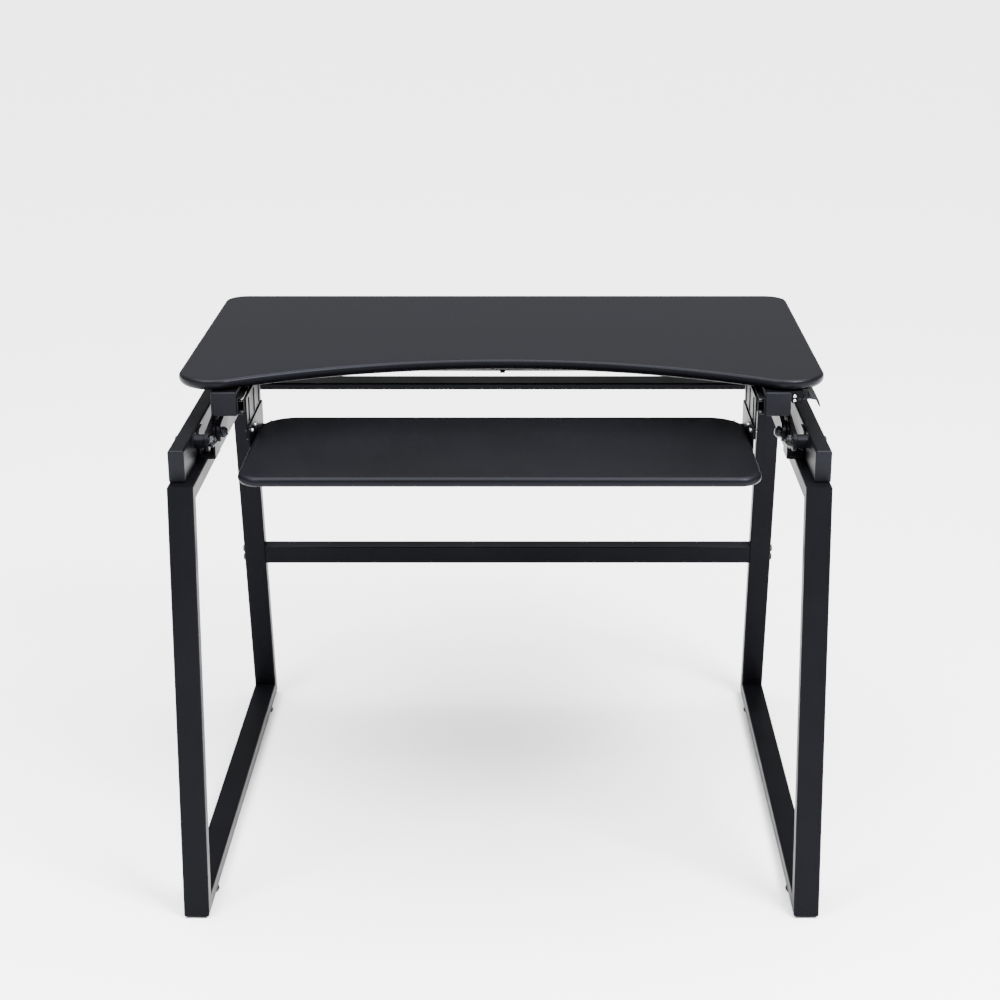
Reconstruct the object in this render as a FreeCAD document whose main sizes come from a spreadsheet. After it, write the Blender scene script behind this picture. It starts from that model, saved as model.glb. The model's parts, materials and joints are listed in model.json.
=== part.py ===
import FreeCAD, Part
import math
import os

import Sketcher
from FreeCAD import Placement, Rotation, Vector

# Sit-stand computer desk with a sliding keyboard tray. Millimetres.
# +X right, +Y to the rear, +Z up. Origin on the floor, under the middle of the feet.
# Modelled lowered: the swing arms rest at their lower stop and the tray is pulled forward.

DRIVING = [
    ("desk_wide", 1016, "desktop width"),
    ("desk_deep", 584, "desktop depth"),
    ("desk_thick", 18, "desktop board thickness"),
    ("desk_scoop", 123, "how far the concave front edge runs in at the middle"),
    ("lobe_flat", 76, "straight front of each front corner"),
    ("lobe_blend", 40, "radius between the scoop and a front corner"),
    ("desk_front_round", 60, "front corner radius in plan"),
    ("desk_rear_round", 38, "rear corner radius in plan"),
    ("desk_edge_round", 7, "bullnose radius of the desktop"),
    ("desk_behind_pivot", 106, "desktop's rear edge behind the torsion shaft"),
    ("stand_wide", 1000, "outer faces of the side frames"),
    ("stand_tall", 690, "top of the head rails"),
    ("foot_long", 858, "foot rail length"),
    ("front_rake", 80, "head of the front leg behind its foot"),
    ("rear_rake", 112, "head of the rear leg ahead of its foot"),
    ("tube_wide", 40, "stand tube, across"),
    ("tube_deep", 25, "stand tube, in the plane of the side frame"),
    ("tube_wall", 1.5, "wall of the stand's tubes"),
    ("tube_round", 3, "outer corner radius of every tube"),
    ("glide_wide", 44, "floor glide diameter"),
    ("glide_tall", 4, "floor glide height under the foot rail"),
    ("glide_inset", 90, "floor glide from the end of the foot rail"),
    ("stem_wide", 8, "stem of a floor glide"),
    ("bar_tall", 36, "crossbar, along the rear leg"),
    ("bar_high", 320, "middle of the crossbar above the floor"),
    ("plug_long", 30, "crossbar plug length"),
    ("bar_bolt", 8, "crossbar bolt diameter"),
    ("bar_bolt_head", 14, "crossbar bolt head diameter"),
    ("bar_bolt_apart", 18, "spacing of the two bolts at each end of the crossbar"),
    ("rail_wide", 25, "riser base rail, across"),
    ("rail_tall", 50, "riser base rail height"),
    ("rail_wall", 2, "riser base rail wall"),
    ("rail_long", 580, "riser base rail length"),
    ("rail_setback", 24, "riser base rail behind the front of the head rail"),
    ("base_bolt", 6, "riser bolt diameter"),
    ("base_nut", 10, "riser bolt and nut across flats"),
    ("base_bolt_front", 60, "front riser bolt behind the rail's front end"),
    ("base_bolt_rear", 90, "rear riser bolt ahead of the rail's rear end"),
    ("tie_deep", 52, "flat tube across the riser base, front to back"),
    ("tie_tall", 12, "flat tube across the riser base, height"),
    ("tie_inset", 14, "flat tube ahead of the rail's rear end"),
    ("cap_thick", 2.5, "flange of the plastic end caps"),
    ("cap_long", 12, "how far an end cap reaches into its tube"),
    ("arm_long", 460, "swing arm between pivots"),
    ("arm_deep", 30, "swing arm depth"),
    ("arm_thick", 7, "swing arm thickness"),
    ("arm_gap", 50, "front arm pivot to rear arm pivot"),
    ("arm_rest", 6.3, "arm angle above level when lowered, degrees"),
    ("lift_angle", 63.4, "arm travel, degrees"),
    ("pivot_back", 88, "front arm pivot behind the rail's front end"),
    ("pivot_down", 12.5, "lower pivots below the top of the rail"),
    ("boss_long", 17, "spacer between the rail and the front arm"),
    ("boss_wide", 22, "spacer diameter"),
    ("pin_wide", 10, "arm pivot diameter"),
    ("bush_wide", 14, "arm bush outer diameter"),
    ("ear_thick", 3, "sheet of the rear arm bracket"),
    ("bracket_long", 46, "rear arm bracket, front to back"),
    ("bracket_screw", 5, "rear arm bracket's screw diameter"),
    ("bracket_screw_off", 14, "its screws from the pivot, and above the head rail"),
    ("nut_thick", 8, "pivot nut thickness"),
    ("nut_wide", 17, "pivot nut across flats"),
    ("shaft_wide", 16, "torsion shaft diameter"),
    ("bearing_wide", 24, "shaft bearing barrel diameter"),
    ("channel_wide", 40, "upper channel width"),
    ("channel_tall", 38, "upper channel height"),
    ("channel_wall", 2, "upper channel sheet"),
    ("channel_long", 542, "upper channel length"),
    ("channel_ahead", 4, "upper channel ahead of the desktop's front edge"),
    ("desk_screw_front", 34.8, "front desktop screw behind the desktop's edge there"),
    ("desk_screw_second", 210, "second desktop screw behind the channel's front end"),
    ("desk_screw_third", 365, "third desktop screw behind the channel's front end"),
    ("desk_screw_rear", 520, "rear desktop screw behind the channel's front end"),
    ("shaft_down", 21, "upper pivots below the desktop's underside"),
    ("beam_deep", 30, "upper cross member, front to back"),
    ("beam_tall", 20, "upper cross member height"),
    ("beam_front_back", 372, "front cross member behind the channel's front end"),
    ("tray_deep", 324, "keyboard tray depth"),
    ("tray_thick", 15, "keyboard tray board thickness"),
    ("tray_down", 46, "tray's top below the channels"),
    ("tray_ahead", 174, "tray's front edge ahead of the desktop"),
    ("tray_front_round", 35, "tray front corner radius in plan"),
    ("tray_rear_round", 60, "tray rear corner radius in plan"),
    ("tray_edge_round", 5.5, "bullnose radius of the tray"),
    ("tray_side_gap", 1.5, "tray's side edge to its bracket"),
    ("hanger_sheet", 2.5, "sheet of the hangers and tray brackets"),
    ("hanger_long", 156, "hanger, front to back"),
    ("hanger_back", 5, "hanger behind the desktop's front edge"),
    ("flange_wide", 36, "tray bracket's flange under the tray"),
    ("slide_long", 360, "outer slide member length"),
    ("slide_inner_long", 165, "inner slide member length"),
    ("slide_tall", 27, "slide height"),
    ("slide_thick", 11.5, "slide thickness"),
    ("slide_sheet", 1.5, "slide sheet"),
    ("small_screw", 4, "screws of the slides, hangers and tray brackets"),
    ("slide_screw_inset", 30, "slide's end screws from its ends"),
    ("slide_down", 10, "slide's top below the desktop's underside"),
    ("ball_wide", 3, "slide ball diameter"),
    ("cage_long", 150, "ball cage length"),
    ("spring_apart", 660, "gas springs, left to right"),
    ("spring_front", 10, "gas spring's front pin behind the frame origin"),
    ("spring_down", 24, "gas spring's front pin below the desktop's underside"),
    ("lever_reach", 36, "spring lever, shaft to pin"),
    ("lever_wide", 26, "spring lever width"),
    ("lever_plate", 4, "spring lever plate thickness"),
    ("eye_thick", 8, "spring eye thickness"),
    ("eye_wide", 20, "spring eye width"),
    ("spring_pin", 8, "gas spring pin diameter"),
    ("mount_sheet", 3, "sheet of the gas spring mounts"),
    ("mount_long", 34, "gas spring mount, front to back"),
    ("cylinder_wide", 20, "gas spring cylinder diameter"),
    ("cylinder_wall", 2, "gas spring cylinder wall"),
    ("cylinder_start", 22, "cylinder's closed end from its pin"),
    ("cylinder_long", 165, "gas spring cylinder length"),
    ("rod_wide", 8, "gas spring rod diameter"),
    ("paddle_long", 135, "release paddle, front to back"),
    ("paddle_back", 13, "release paddle behind the desktop's front edge"),
    ("paddle_sheet", 2.5, "release paddle sheet"),
    ("hinge_pin", 4, "release lever pin diameter"),
    ("knuckle_wide", 9, "release lever knuckle diameter"),
    ("lever_mount_long", 80, "release lever bracket, front to back"),
    ("lever_mount_tall", 20, "release lever bracket height"),
    ("lever_sheet", 2, "release lever bracket sheet"),
    ("lever_screw", 3, "release lever bracket's front screws"),
    ("cable_wide", 4, "release cable diameter"),
    ("cable_apart", 7, "spacing of the two cables at the lever"),
    ("wood_screw", 4.5, "wood screw diameter"),
    ("side_gap", 0.5, "gap between parts that swing past each other"),
    ("running_gap", 0.08, "radial clearance of a pin in its bush"),
    ("seat_gap", 0.05, "clearance of a part seated in another"),
    ("hole_gap", 0.2, "radial clearance of a bolt in its hole"),
]

doc = FreeCAD.newDocument("sit_stand_desk")
sheet = doc.addObject("Spreadsheet::Sheet", "Sizes")


class Size:
    """A dimension kept both as its number and as the sheet formula that gives it."""

    def __init__(self, value, formula):
        self.value = value
        self.formula = formula

    def __add__(self, other):
        other = size(other)
        return Size(self.value + other.value, f"({self.formula} + {other.formula})")

    def __sub__(self, other):
        other = size(other)
        return Size(self.value - other.value, f"({self.formula} - {other.formula})")

    def __mul__(self, other):
        other = size(other)
        return Size(self.value * other.value, f"({self.formula} * {other.formula})")

    def __truediv__(self, other):
        other = size(other)
        return Size(self.value / other.value, f"({self.formula} / {other.formula})")

    def __neg__(self):
        return Size(-self.value, f"(-1 * {self.formula})")

    def __radd__(self, other):
        return size(other) + self

    def __rsub__(self, other):
        return size(other) - self

    def __rmul__(self, other):
        return size(other) * self


def size(number):
    """The number as a Size, if it isn't one already."""
    if isinstance(number, Size):
        return number
    return Size(float(number), f"({float(number)!r})")


def larger(one, other):
    return Size(max(one.value, other.value), f"max({one.formula}; {other.formula})")


def sine(angle):
    return Size(math.sin(math.radians(angle.value)), f"sin({angle.formula})")


def cosine(angle):
    return Size(math.cos(math.radians(angle.value)), f"cos({angle.formula})")


def root(number):
    return Size(math.sqrt(number.value), f"sqrt({number.formula})")


def slope_angle(rise, run):
    """The angle of a slope, used only as a rotation."""
    return Size(math.degrees(math.atan(rise.value / run.value)), f"atan({rise.formula} / {run.formula})")


for row, (name, value, meaning) in enumerate(DRIVING, start=1):
    sheet.set(f"A{row}", str(value))
    sheet.setAlias(f"A{row}", name)
    sheet.set(f"B{row}", meaning)
doc.recompute()
D = {name: Size(float(value), f"Sizes.{name}") for name, value, _ in DRIVING}

SIDES = (("left", -1), ("right", 1))
PLANES = {"X": "YZ_Plane", "Y": "XZ_Plane", "Z": "XY_Plane"}
TURNS = {
    "X": Rotation(Vector(0, 1, 0), 90),
    "Y": Rotation(Vector(1, 0, 0), -90),
    "Z": Rotation(),
}


# ---------------------------------------------------------------- helpers

def bind(obj, prop, value):
    obj.setExpression(prop, size(value).formula)


def place(obj, x=0, y=0, z=0, turn=None, angle=None):
    """Put obj at x, y, z. turn is a fixed rotation; angle is a bound rotation about X."""
    if angle is not None:
        obj.Placement = Placement(Vector(), Rotation(Vector(1, 0, 0), angle.value))
        bind(obj, "Placement.Rotation.Angle", angle)
    elif turn is not None:
        obj.Placement = Placement(Vector(), turn)
    for axis, value in (("x", x), ("y", y), ("z", z)):
        bind(obj, f"Placement.Base.{axis}", value)
    return obj


def block(label, x, y, z):
    """Box between the (low, high) pairs x, y and z."""
    box = doc.addObject("Part::Box", label)
    for prop, (low, high) in (("Length", x), ("Width", y), ("Height", z)):
        bind(box, prop, size(high) - low)
    return place(box, x[0], y[0], z[0])


def round_bar(label, axis, centre, low, high, width):
    """Cylinder along axis from low to high, its other two coordinates in centre."""
    bar = doc.addObject("Part::Cylinder", label)
    bind(bar, "Radius", size(width) / 2)
    bind(bar, "Height", size(high) - low)
    spot = list(centre)
    spot.insert("XYZ".index(axis), low)
    return place(bar, *spot, turn=TURNS[axis])


def hex_bar(label, axis, centre, low, high, across_flats):
    bar = doc.addObject("Part::Prism", label)
    bar.Polygon = 6
    bind(bar, "Circumradius", size(across_flats) / math.sqrt(3))
    bind(bar, "Height", size(high) - low)
    spot = list(centre)
    spot.insert("XYZ".index(axis), low)
    return place(bar, *spot, turn=TURNS[axis])


def fuse(label, *shapes):
    joined = doc.addObject("Part::MultiFuse", label)
    joined.Shapes = list(shapes)
    return joined


def cut(label, base, tool):
    result = doc.addObject("Part::Cut", label)
    result.Base = base
    result.Tool = tool
    return result


def group(label, shapes):
    """Like pieces kept as separate solids of one sub-part."""
    pack = doc.addObject("Part::Compound", label)
    pack.Links = list(shapes)
    return pack


def ring(label, axis, centre, low, high, outer, inner):
    body = round_bar(label + "_body", axis, centre, low, high, outer)
    hole = round_bar(label + "_hole", axis, centre, size(low) - 1, size(high) + 1, inner)
    return cut(label, body, hole)


def span(first, second):
    """Two coordinates in rising order, whichever side of the desk they are on."""
    return (first, second) if size(first).value < size(second).value else (second, first)


def new_body(label):
    body = doc.addObject("PartDesign::Body", label)
    body.Label = label
    return body


def new_sketch(body, axis, offset=0):
    """Sketch across axis, offset along it. Its two directions are the other axes in X, Y, Z order."""
    drawing = body.newObject("Sketcher::SketchObject", body.Name + "_sketch")
    plane = next(item for item in body.Origin.OriginFeatures if item.Role == PLANES[axis])
    drawing.AttachmentSupport = [(plane, "")]
    drawing.MapMode = "FlatFace"
    # The plane across Y faces the front, so its offset runs the other way.
    bind(drawing, "AttachmentOffset.Base.z", -size(offset) if axis == "Y" else size(offset))
    return drawing


def hold_point(drawing, geometry, spot, point):
    """Hold a point of the drawing at its two sizes."""
    for kind, value in zip(("DistanceX", "DistanceY"), point):
        value = size(value)
        index = drawing.addConstraint(Sketcher.Constraint(kind, -1, 1, geometry, spot, value.value))
        drawing.setExpression(f"Constraints[{index}]", value.formula)


def draw_outline(drawing, corners):
    """Closed run of straight lines, each corner held by its two sizes."""
    points = [Vector(size(a).value, size(b).value, 0) for a, b in corners]
    first = drawing.GeometryCount
    count = len(points)
    for i in range(count):
        drawing.addGeometry(Part.LineSegment(points[i], points[(i + 1) % count]))
    for i in range(count):
        drawing.addConstraint(Sketcher.Constraint("Coincident", first + i, 2, first + (i + 1) % count, 1))
    for i in range(count):
        hold_point(drawing, first + i, 1, corners[i])


def draw_circle(drawing, a, b, width):
    radius = size(width) / 2
    centre = Vector(size(a).value, size(b).value, 0)
    index = drawing.addGeometry(Part.Circle(centre, Vector(0, 0, 1), radius.value))
    hold_point(drawing, index, 3, (a, b))
    held = drawing.addConstraint(Sketcher.Constraint("Radius", index, radius.value))
    drawing.setExpression(f"Constraints[{held}]", radius.formula)


def draw_slot(drawing, low, high, middle, width):
    """Slot along the drawing's first direction, its end centres at low and high."""
    radius = size(width) / 2
    low, high, middle = size(low), size(high), size(middle)
    reach = radius.value
    ends = []
    for centre, start, stop in ((high, -90, 90), (low, 90, 270)):
        circle = Part.Circle(Vector(centre.value, middle.value, 0), Vector(0, 0, 1), reach)
        arc = Part.ArcOfCircle(circle, math.radians(start), math.radians(stop))
        ends.append(drawing.addGeometry(arc))
    far, near = ends
    lines = []
    for height, a, b in ((reach, high, low), (-reach, low, high)):
        start = Vector(a.value, middle.value + height, 0)
        stop = Vector(b.value, middle.value + height, 0)
        lines.append(drawing.addGeometry(Part.LineSegment(start, stop)))
    top, bottom = lines
    joins = ((far, 2, top, 1), (top, 2, near, 1), (near, 2, bottom, 1), (bottom, 2, far, 1))
    for first, spot, second, other in joins:
        drawing.addConstraint(Sketcher.Constraint("Tangent", first, spot, second, other))
    hold_point(drawing, far, 3, (high, middle))
    hold_point(drawing, near, 3, (low, middle))
    held = drawing.addConstraint(Sketcher.Constraint("Radius", far, reach))
    drawing.setExpression(f"Constraints[{held}]", radius.formula)


def pad(body, drawing, length):
    """Solid of the drawing, half to each side of its plane."""
    feature = body.newObject("PartDesign::Pad", body.Name + "_pad")
    feature.Profile = drawing
    feature.SideType = "Symmetric"
    bind(feature, "Length", length)
    body.Tip = feature
    return feature


def pocket(body, drawing, length):
    """Cut of the drawing, half to each side of its plane."""
    feature = body.newObject("PartDesign::Pocket", body.Name + "_pocket")
    feature.Profile = drawing
    feature.SideType = "Symmetric"
    bind(feature, "Length", length)
    body.Tip = feature
    return feature


def drill(body, axis, holes, offset, length):
    """Round holes along axis through the stretch of length about offset. A hole is a, b, width."""
    drawing = new_sketch(body, axis, offset)
    for a, b, width in holes:
        draw_circle(drawing, a, b, width)
    pocket(body, drawing, length)


def plate(label, axis, corners, length, holes=()):
    """Sheet or bar of the outline, with round holes through it."""
    body = new_body(label)
    drawing = new_sketch(body, axis)
    draw_outline(drawing, corners)
    for a, b, width in holes:
        draw_circle(drawing, a, b, width)
    pad(body, drawing, length)
    return body


def round_edges(body, radius, chosen):
    """Fillet the edges of the body's last feature for which chosen(edge) is true."""
    doc.recompute()
    last = body.Tip
    names = [f"Edge{i}" for i, edge in enumerate(last.Shape.Edges, start=1) if chosen(edge)]
    fillet = body.newObject("PartDesign::Fillet", body.Name + "_round")
    fillet.Base = (last, names)
    bind(fillet, "Radius", radius)
    body.Tip = fillet
    doc.recompute()
    return fillet


def along(axis, least=0.0):
    """Test for straight edges along an axis and longer than least."""
    direction = {"X": Vector(1, 0, 0), "Y": Vector(0, 1, 0), "Z": Vector(0, 0, 1)}[axis]

    def chosen(edge):
        if len(edge.Vertexes) != 2 or edge.Length <= least:
            return False
        run = edge.Vertexes[1].Point - edge.Vertexes[0].Point
        return abs(run.normalize().dot(direction)) > 0.999
    return chosen


def rect(low_a, high_a, low_b, high_b):
    return [(low_a, low_b), (high_a, low_b), (high_a, high_b), (low_a, high_b)]


def rect_tube(label, axis, wide, tall, length, wall):
    """Hollow rectangular tube centred on the origin, along axis."""
    half_wide, half_tall = wide / 2, tall / 2
    body = plate(label, axis, rect(-half_wide, half_wide, -half_tall, half_tall), length)
    round_edges(body, D["tube_round"], along(axis, 10))
    bore = new_sketch(body, axis)
    draw_outline(bore, rect(wall - half_wide, half_wide - wall, wall - half_tall, half_tall - wall))
    pocket(body, bore, length + 10)
    return body


def wood_screws(label, spots, under, head_wide, head_tall, width, reach):
    """Screws pointing up: a head below under, a shank reach above it, at each x, y."""
    screws = []
    for i, (x, y) in enumerate(spots):
        head = round_bar(f"{label}_head{i}", "Z", (x, y), under - head_tall, under, head_wide)
        shank = round_bar(f"{label}_shank{i}", "Z", (x, y), under - head_tall / 2, under + reach, width)
        screws.append(fuse(f"{label}_{i}", head, shank))
    return screws


def nut(label, x, y, z, side):
    """Hexagon nut along X, from x away from the desk's outside by its thickness."""
    ends = span(x, x - side * D["nut_thick"])
    body = hex_bar(label + "_body", "X", (y, z), *ends, D["nut_wide"])
    hole_width = D["pin_wide"] + 2 * D["seat_gap"]
    hole = round_bar(label + "_hole", "X", (y, z), ends[0] - 1, ends[1] + 1, hole_width)
    return cut(label, body, hole)


# ---------------------------------------------------------------- places

foot_front = -D["foot_long"] / 2
foot_rear = D["foot_long"] / 2
foot_low = D["glide_tall"]
head_top = D["stand_tall"]
head_front = foot_front + D["front_rake"]
leg_rise = head_top - foot_low
front_slope = D["front_rake"] / leg_rise
rear_slope = D["rear_rake"] / leg_rise
front_stretch = root(1 + front_slope * front_slope)
rear_stretch = root(1 + rear_slope * rear_slope)
frame_x = (D["stand_wide"] - D["tube_wide"]) / 2

rail_in = D["stand_wide"] / 2 - D["rail_wide"]
rail_x = (D["stand_wide"] - D["rail_wide"]) / 2
rail_front = head_front + D["rail_setback"]
rail_rear = rail_front + D["rail_long"]
rail_top = head_top + D["rail_tall"]

front_arm_out = rail_in - D["boss_long"] - D["side_gap"]
front_arm_in = front_arm_out - D["arm_thick"]
channel_out = front_arm_in - D["side_gap"]
channel_in = channel_out - D["channel_wide"]
rear_arm_out = channel_out - D["ear_thick"] - D["side_gap"]
rear_arm_in = rear_arm_out - D["arm_thick"]

lower_z = rail_top - D["pivot_down"]
front_y = rail_front + D["pivot_back"]
rear_y = front_y + D["arm_gap"]
arm_run = D["arm_long"] * cosine(D["arm_rest"])
upper_z = lower_z + D["arm_long"] * sine(D["arm_rest"])
stud_y = front_y + arm_run
shaft_y = rear_y + arm_run

desk_low = upper_z + D["shaft_down"]
desk_rear = shaft_y + D["desk_behind_pivot"]
desk_front = desk_rear - D["desk_deep"]
channel_low = desk_low - D["channel_tall"]
channel_front = desk_front - D["channel_ahead"]
channel_rear = channel_front + D["channel_long"]
web_low = desk_low - D["channel_wall"]

tray_high = channel_low - D["tray_down"]
tray_low = tray_high - D["tray_thick"]
tray_front = desk_front - D["tray_ahead"]
tray_rear = tray_front + D["tray_deep"]
hanger_front = desk_front + D["hanger_back"]
hanger_mid = hanger_front + D["hanger_long"] / 2
hanger_out = channel_in - D["slide_thick"]
hanger_in = hanger_out - D["hanger_sheet"]
bracket_in = hanger_in - D["hanger_sheet"]
tray_half = bracket_in - D["tray_side_gap"]

slide_high = desk_low - D["slide_down"]
slide_low = slide_high - D["slide_tall"]
slide_mid = (slide_high + slide_low) / 2

spring_x = D["spring_apart"] / 2
spring_y = D["spring_front"]
spring_z = desk_low - D["spring_down"]

bolt_hole = D["pin_wide"] + 2 * D["hole_gap"]
stud_hole = D["pin_wide"] + 2 * D["seat_gap"]


# ---------------------------------------------------------------- floor stand

def front_line(z, inset):
    """Y of the front leg at height z, inset from its outer face."""
    return foot_front + front_slope * (z - foot_low) + inset * front_stretch


def rear_line(z, inset):
    return foot_rear - rear_slope * (z - foot_low) - inset * rear_stretch


def stand_tube(label, side, outline, bore):
    """One mitred tube of a side frame: its outline in Y and Z, and its hollow."""
    body = plate(label, "X", outline, D["tube_wide"])
    round_edges(body, D["tube_round"], lambda edge: edge.Length > 1.5 * D["tube_wide"].value)
    drawing = new_sketch(body, "X")
    draw_outline(drawing, bore)
    pocket(body, drawing, D["tube_wide"] - 2 * D["tube_wall"])
    return place(body, x=side * frame_x)


def crossbar_centre():
    middle = D["tube_deep"] / 2
    return rear_line(D["bar_high"], middle), D["bar_high"]


def bar_bolt_spots():
    """Y and Z of the two crossbar bolts, spaced along the raked rear leg."""
    y, z = crossbar_centre()
    half = D["bar_bolt_apart"] / 2
    return [(y - sign * half * rear_slope / rear_stretch, z + sign * half / rear_stretch) for sign in (-1, 1)]


def base_bolt_spots():
    return [rail_front + D["base_bolt_front"], rail_rear - D["base_bolt_rear"]]


def make_side_frame(name, side):
    deep, wall = D["tube_deep"], D["tube_wall"]
    low, high = foot_low, head_top
    below, above = low - deep, high + deep
    inner = deep - wall
    for leg, line in (("front_leg", front_line), ("rear_leg", rear_line)):
        outline = [(line(low, 0), low), (line(high, 0), high),
                   (line(high - deep, deep), high - deep), (line(low + deep, deep), low + deep)]
        bore = [(line(below, wall), below), (line(above, wall), above),
                (line(above, inner), above), (line(below, inner), below)]
        body = stand_tube(f"{leg}_{name}", side, outline, bore)
        if leg == "rear_leg":
            holes = [(y, z, D["bar_bolt"] + 2 * D["hole_gap"]) for y, z in bar_bolt_spots()]
            drill(body, "X", holes, 0, D["tube_wide"] + 2)
    for rail, face, way in (("foot_rail", low, 1), ("head_rail", high, -1)):
        inside = face + way * deep
        outline = [(front_line(face, 0), face), (rear_line(face, 0), face),
                   (rear_line(inside, deep), inside), (front_line(inside, deep), inside)]
        bore = rect(foot_front - deep, foot_rear + deep, *span(face + way * wall, inside - way * wall))
        body = stand_tube(f"{rail}_{name}", side, outline, bore)
        if rail == "foot_rail":
            stem = D["stem_wide"] + 2 * D["hole_gap"]
            holes = [(0, foot_front + D["glide_inset"], stem), (0, foot_rear - D["glide_inset"], stem)]
            drill(body, "Z", holes, low + wall / 2, 2 * wall)
        else:
            bolt = D["base_bolt"] + 2 * D["hole_gap"]
            holes = [(side * (rail_x - frame_x), y, bolt) for y in base_bolt_spots()]
            drill(body, "Z", holes, high - deep / 2, deep + 2)


def make_glides():
    glides = []
    for name, side in SIDES:
        for end, y in (("front", foot_front + D["glide_inset"]), ("rear", foot_rear - D["glide_inset"])):
            label = f"glide_{name}_{end}"
            pad_disc = doc.addObject("Part::Cone", label + "_disc")
            bind(pad_disc, "Radius1", D["glide_wide"] / 2 - 1.5)
            bind(pad_disc, "Radius2", D["glide_wide"] / 2)
            bind(pad_disc, "Height", D["glide_tall"])
            place(pad_disc, side * frame_x, y, 0)
            stem = round_bar(label + "_stem", "Z", (side * frame_x, y), 1, foot_low + 14, D["stem_wide"])
            glides.append(fuse(label, pad_disc, stem))
    return group("foot_glides", glides)


def make_crossbar():
    y, z = crossbar_centre()
    half = D["stand_wide"] / 2 - D["tube_wide"]
    angle = slope_angle(D["rear_rake"], leg_rise)
    bar = rect_tube("rear_crossbar", "X", D["tube_deep"], D["bar_tall"], 2 * half, D["tube_wall"])
    place(bar, 0, y, z, angle=angle)
    plugs, bolts = [], []
    slack = D["tube_wall"] + D["seat_gap"]
    half_deep, half_tall = D["tube_deep"] / 2 - slack, D["bar_tall"] / 2 - slack
    half_bolts = D["bar_bolt_apart"] / 2
    for name, side in SIDES:
        bolt_hole_wide = D["bar_bolt"] + 2 * D["seat_gap"]
        holes = [(0, sign * half_bolts, bolt_hole_wide) for sign in (-1, 1)]
        outline = rect(-half_deep, half_deep, -half_tall, half_tall)
        plug = plate(f"crossbar_plug_{name}", "X", outline, D["plug_long"], holes)
        plugs.append(place(plug, side * (half - D["plug_long"] / 2), y, z, angle=angle))
        for i, (bolt_y, bolt_z) in enumerate(bar_bolt_spots()):
            label = f"crossbar_bolt_{name}_{i}"
            spot = (bolt_y, bolt_z)
            outside = side * D["stand_wide"] / 2
            ends = span(outside, outside + side * 3.5)
            head = round_bar(label + "_head", "X", spot, *ends, D["bar_bolt_head"])
            inside = side * (half - D["plug_long"] + 4)
            shank = round_bar(label + "_shank", "X", spot, *span(outside + side, inside), D["bar_bolt"])
            bolts.append(fuse(label, head, shank))
    group("crossbar_bolts", plugs + bolts)


# ---------------------------------------------------------------- riser base

def screw_spots_on_rail():
    """Y and Z of the two screws of a rear arm bracket, in the rail's side."""
    off = D["bracket_screw_off"]
    return [(rear_y + sign * off, head_top + off) for sign in (-1, 1)]


def make_base_rail(name, side):
    middle_y, middle_z = (rail_front + rail_rear) / 2, head_top + D["rail_tall"] / 2
    rail = rect_tube(f"base_rail_{name}", "Y", D["rail_wide"], D["rail_tall"], D["rail_long"], D["rail_wall"])
    drill(rail, "X", [(front_y - middle_y, lower_z - middle_z, bolt_hole)], 0, D["rail_wide"] + 2)
    inner_wall = -side * (D["rail_wide"] - D["rail_wall"]) / 2
    screw_hole = D["bracket_screw"] + 2 * D["seat_gap"]
    holes = [(y - middle_y, z - middle_z, screw_hole) for y, z in screw_spots_on_rail()]
    drill(rail, "X", holes, inner_wall, 2 * D["rail_wall"])
    holes = [(0, y - middle_y, D["base_bolt"] + 2 * D["hole_gap"]) for y in base_bolt_spots()]
    drill(rail, "Z", holes, (D["rail_wall"] - D["rail_tall"]) / 2, 2 * D["rail_wall"])
    return place(rail, side * rail_x, middle_y, middle_z)


def end_cap(label, x, z, wide, tall, wall, face, way):
    """Cap on a tube along Y that ends at face. way is 1 where the tube lies behind the face."""
    outer = face - way * D["cap_thick"]
    across, upright = (x - wide / 2, x + wide / 2), (z - tall / 2, z + tall / 2)
    flange = block(label + "_flange", across, span(outer, face), upright)
    softened = doc.addObject("Part::Fillet", label + "_soft")
    doc.recompute()
    softened.Base = flange
    corners = [i for i, edge in enumerate(flange.Shape.Edges, start=1) if along("Y")(edge)]
    softened.Edges = [(i, D["tube_round"].value, D["tube_round"].value) for i in corners]
    slack = wall + D["hole_gap"]
    half_wide, half_tall = wide / 2 - slack, tall / 2 - slack
    inner = face + way * D["cap_long"]
    across, upright = (x - half_wide, x + half_wide), (z - half_tall, z + half_tall)
    plug = block(label + "_plug", across, span(face - way, inner), upright)
    return fuse(label, softened, plug)


def make_base_caps():
    caps = []
    middle_z = head_top + D["rail_tall"] / 2
    for name, side in SIDES:
        for end, face, way in (("front", rail_front, 1), ("rear", rail_rear, -1)):
            label = f"base_cap_{name}_{end}"
            caps.append(end_cap(label, side * rail_x, middle_z, D["rail_wide"], D["rail_tall"],
                                D["rail_wall"], face, way))
    return group("base_end_caps", caps)


def make_base_tie():
    tie = rect_tube("base_cross_tube", "X", D["tie_deep"], D["tie_tall"], 2 * rail_in, D["tube_wall"])
    return place(tie, 0, rail_rear - D["tie_inset"] - D["tie_deep"] / 2, head_top + D["tie_tall"] / 2)


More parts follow.
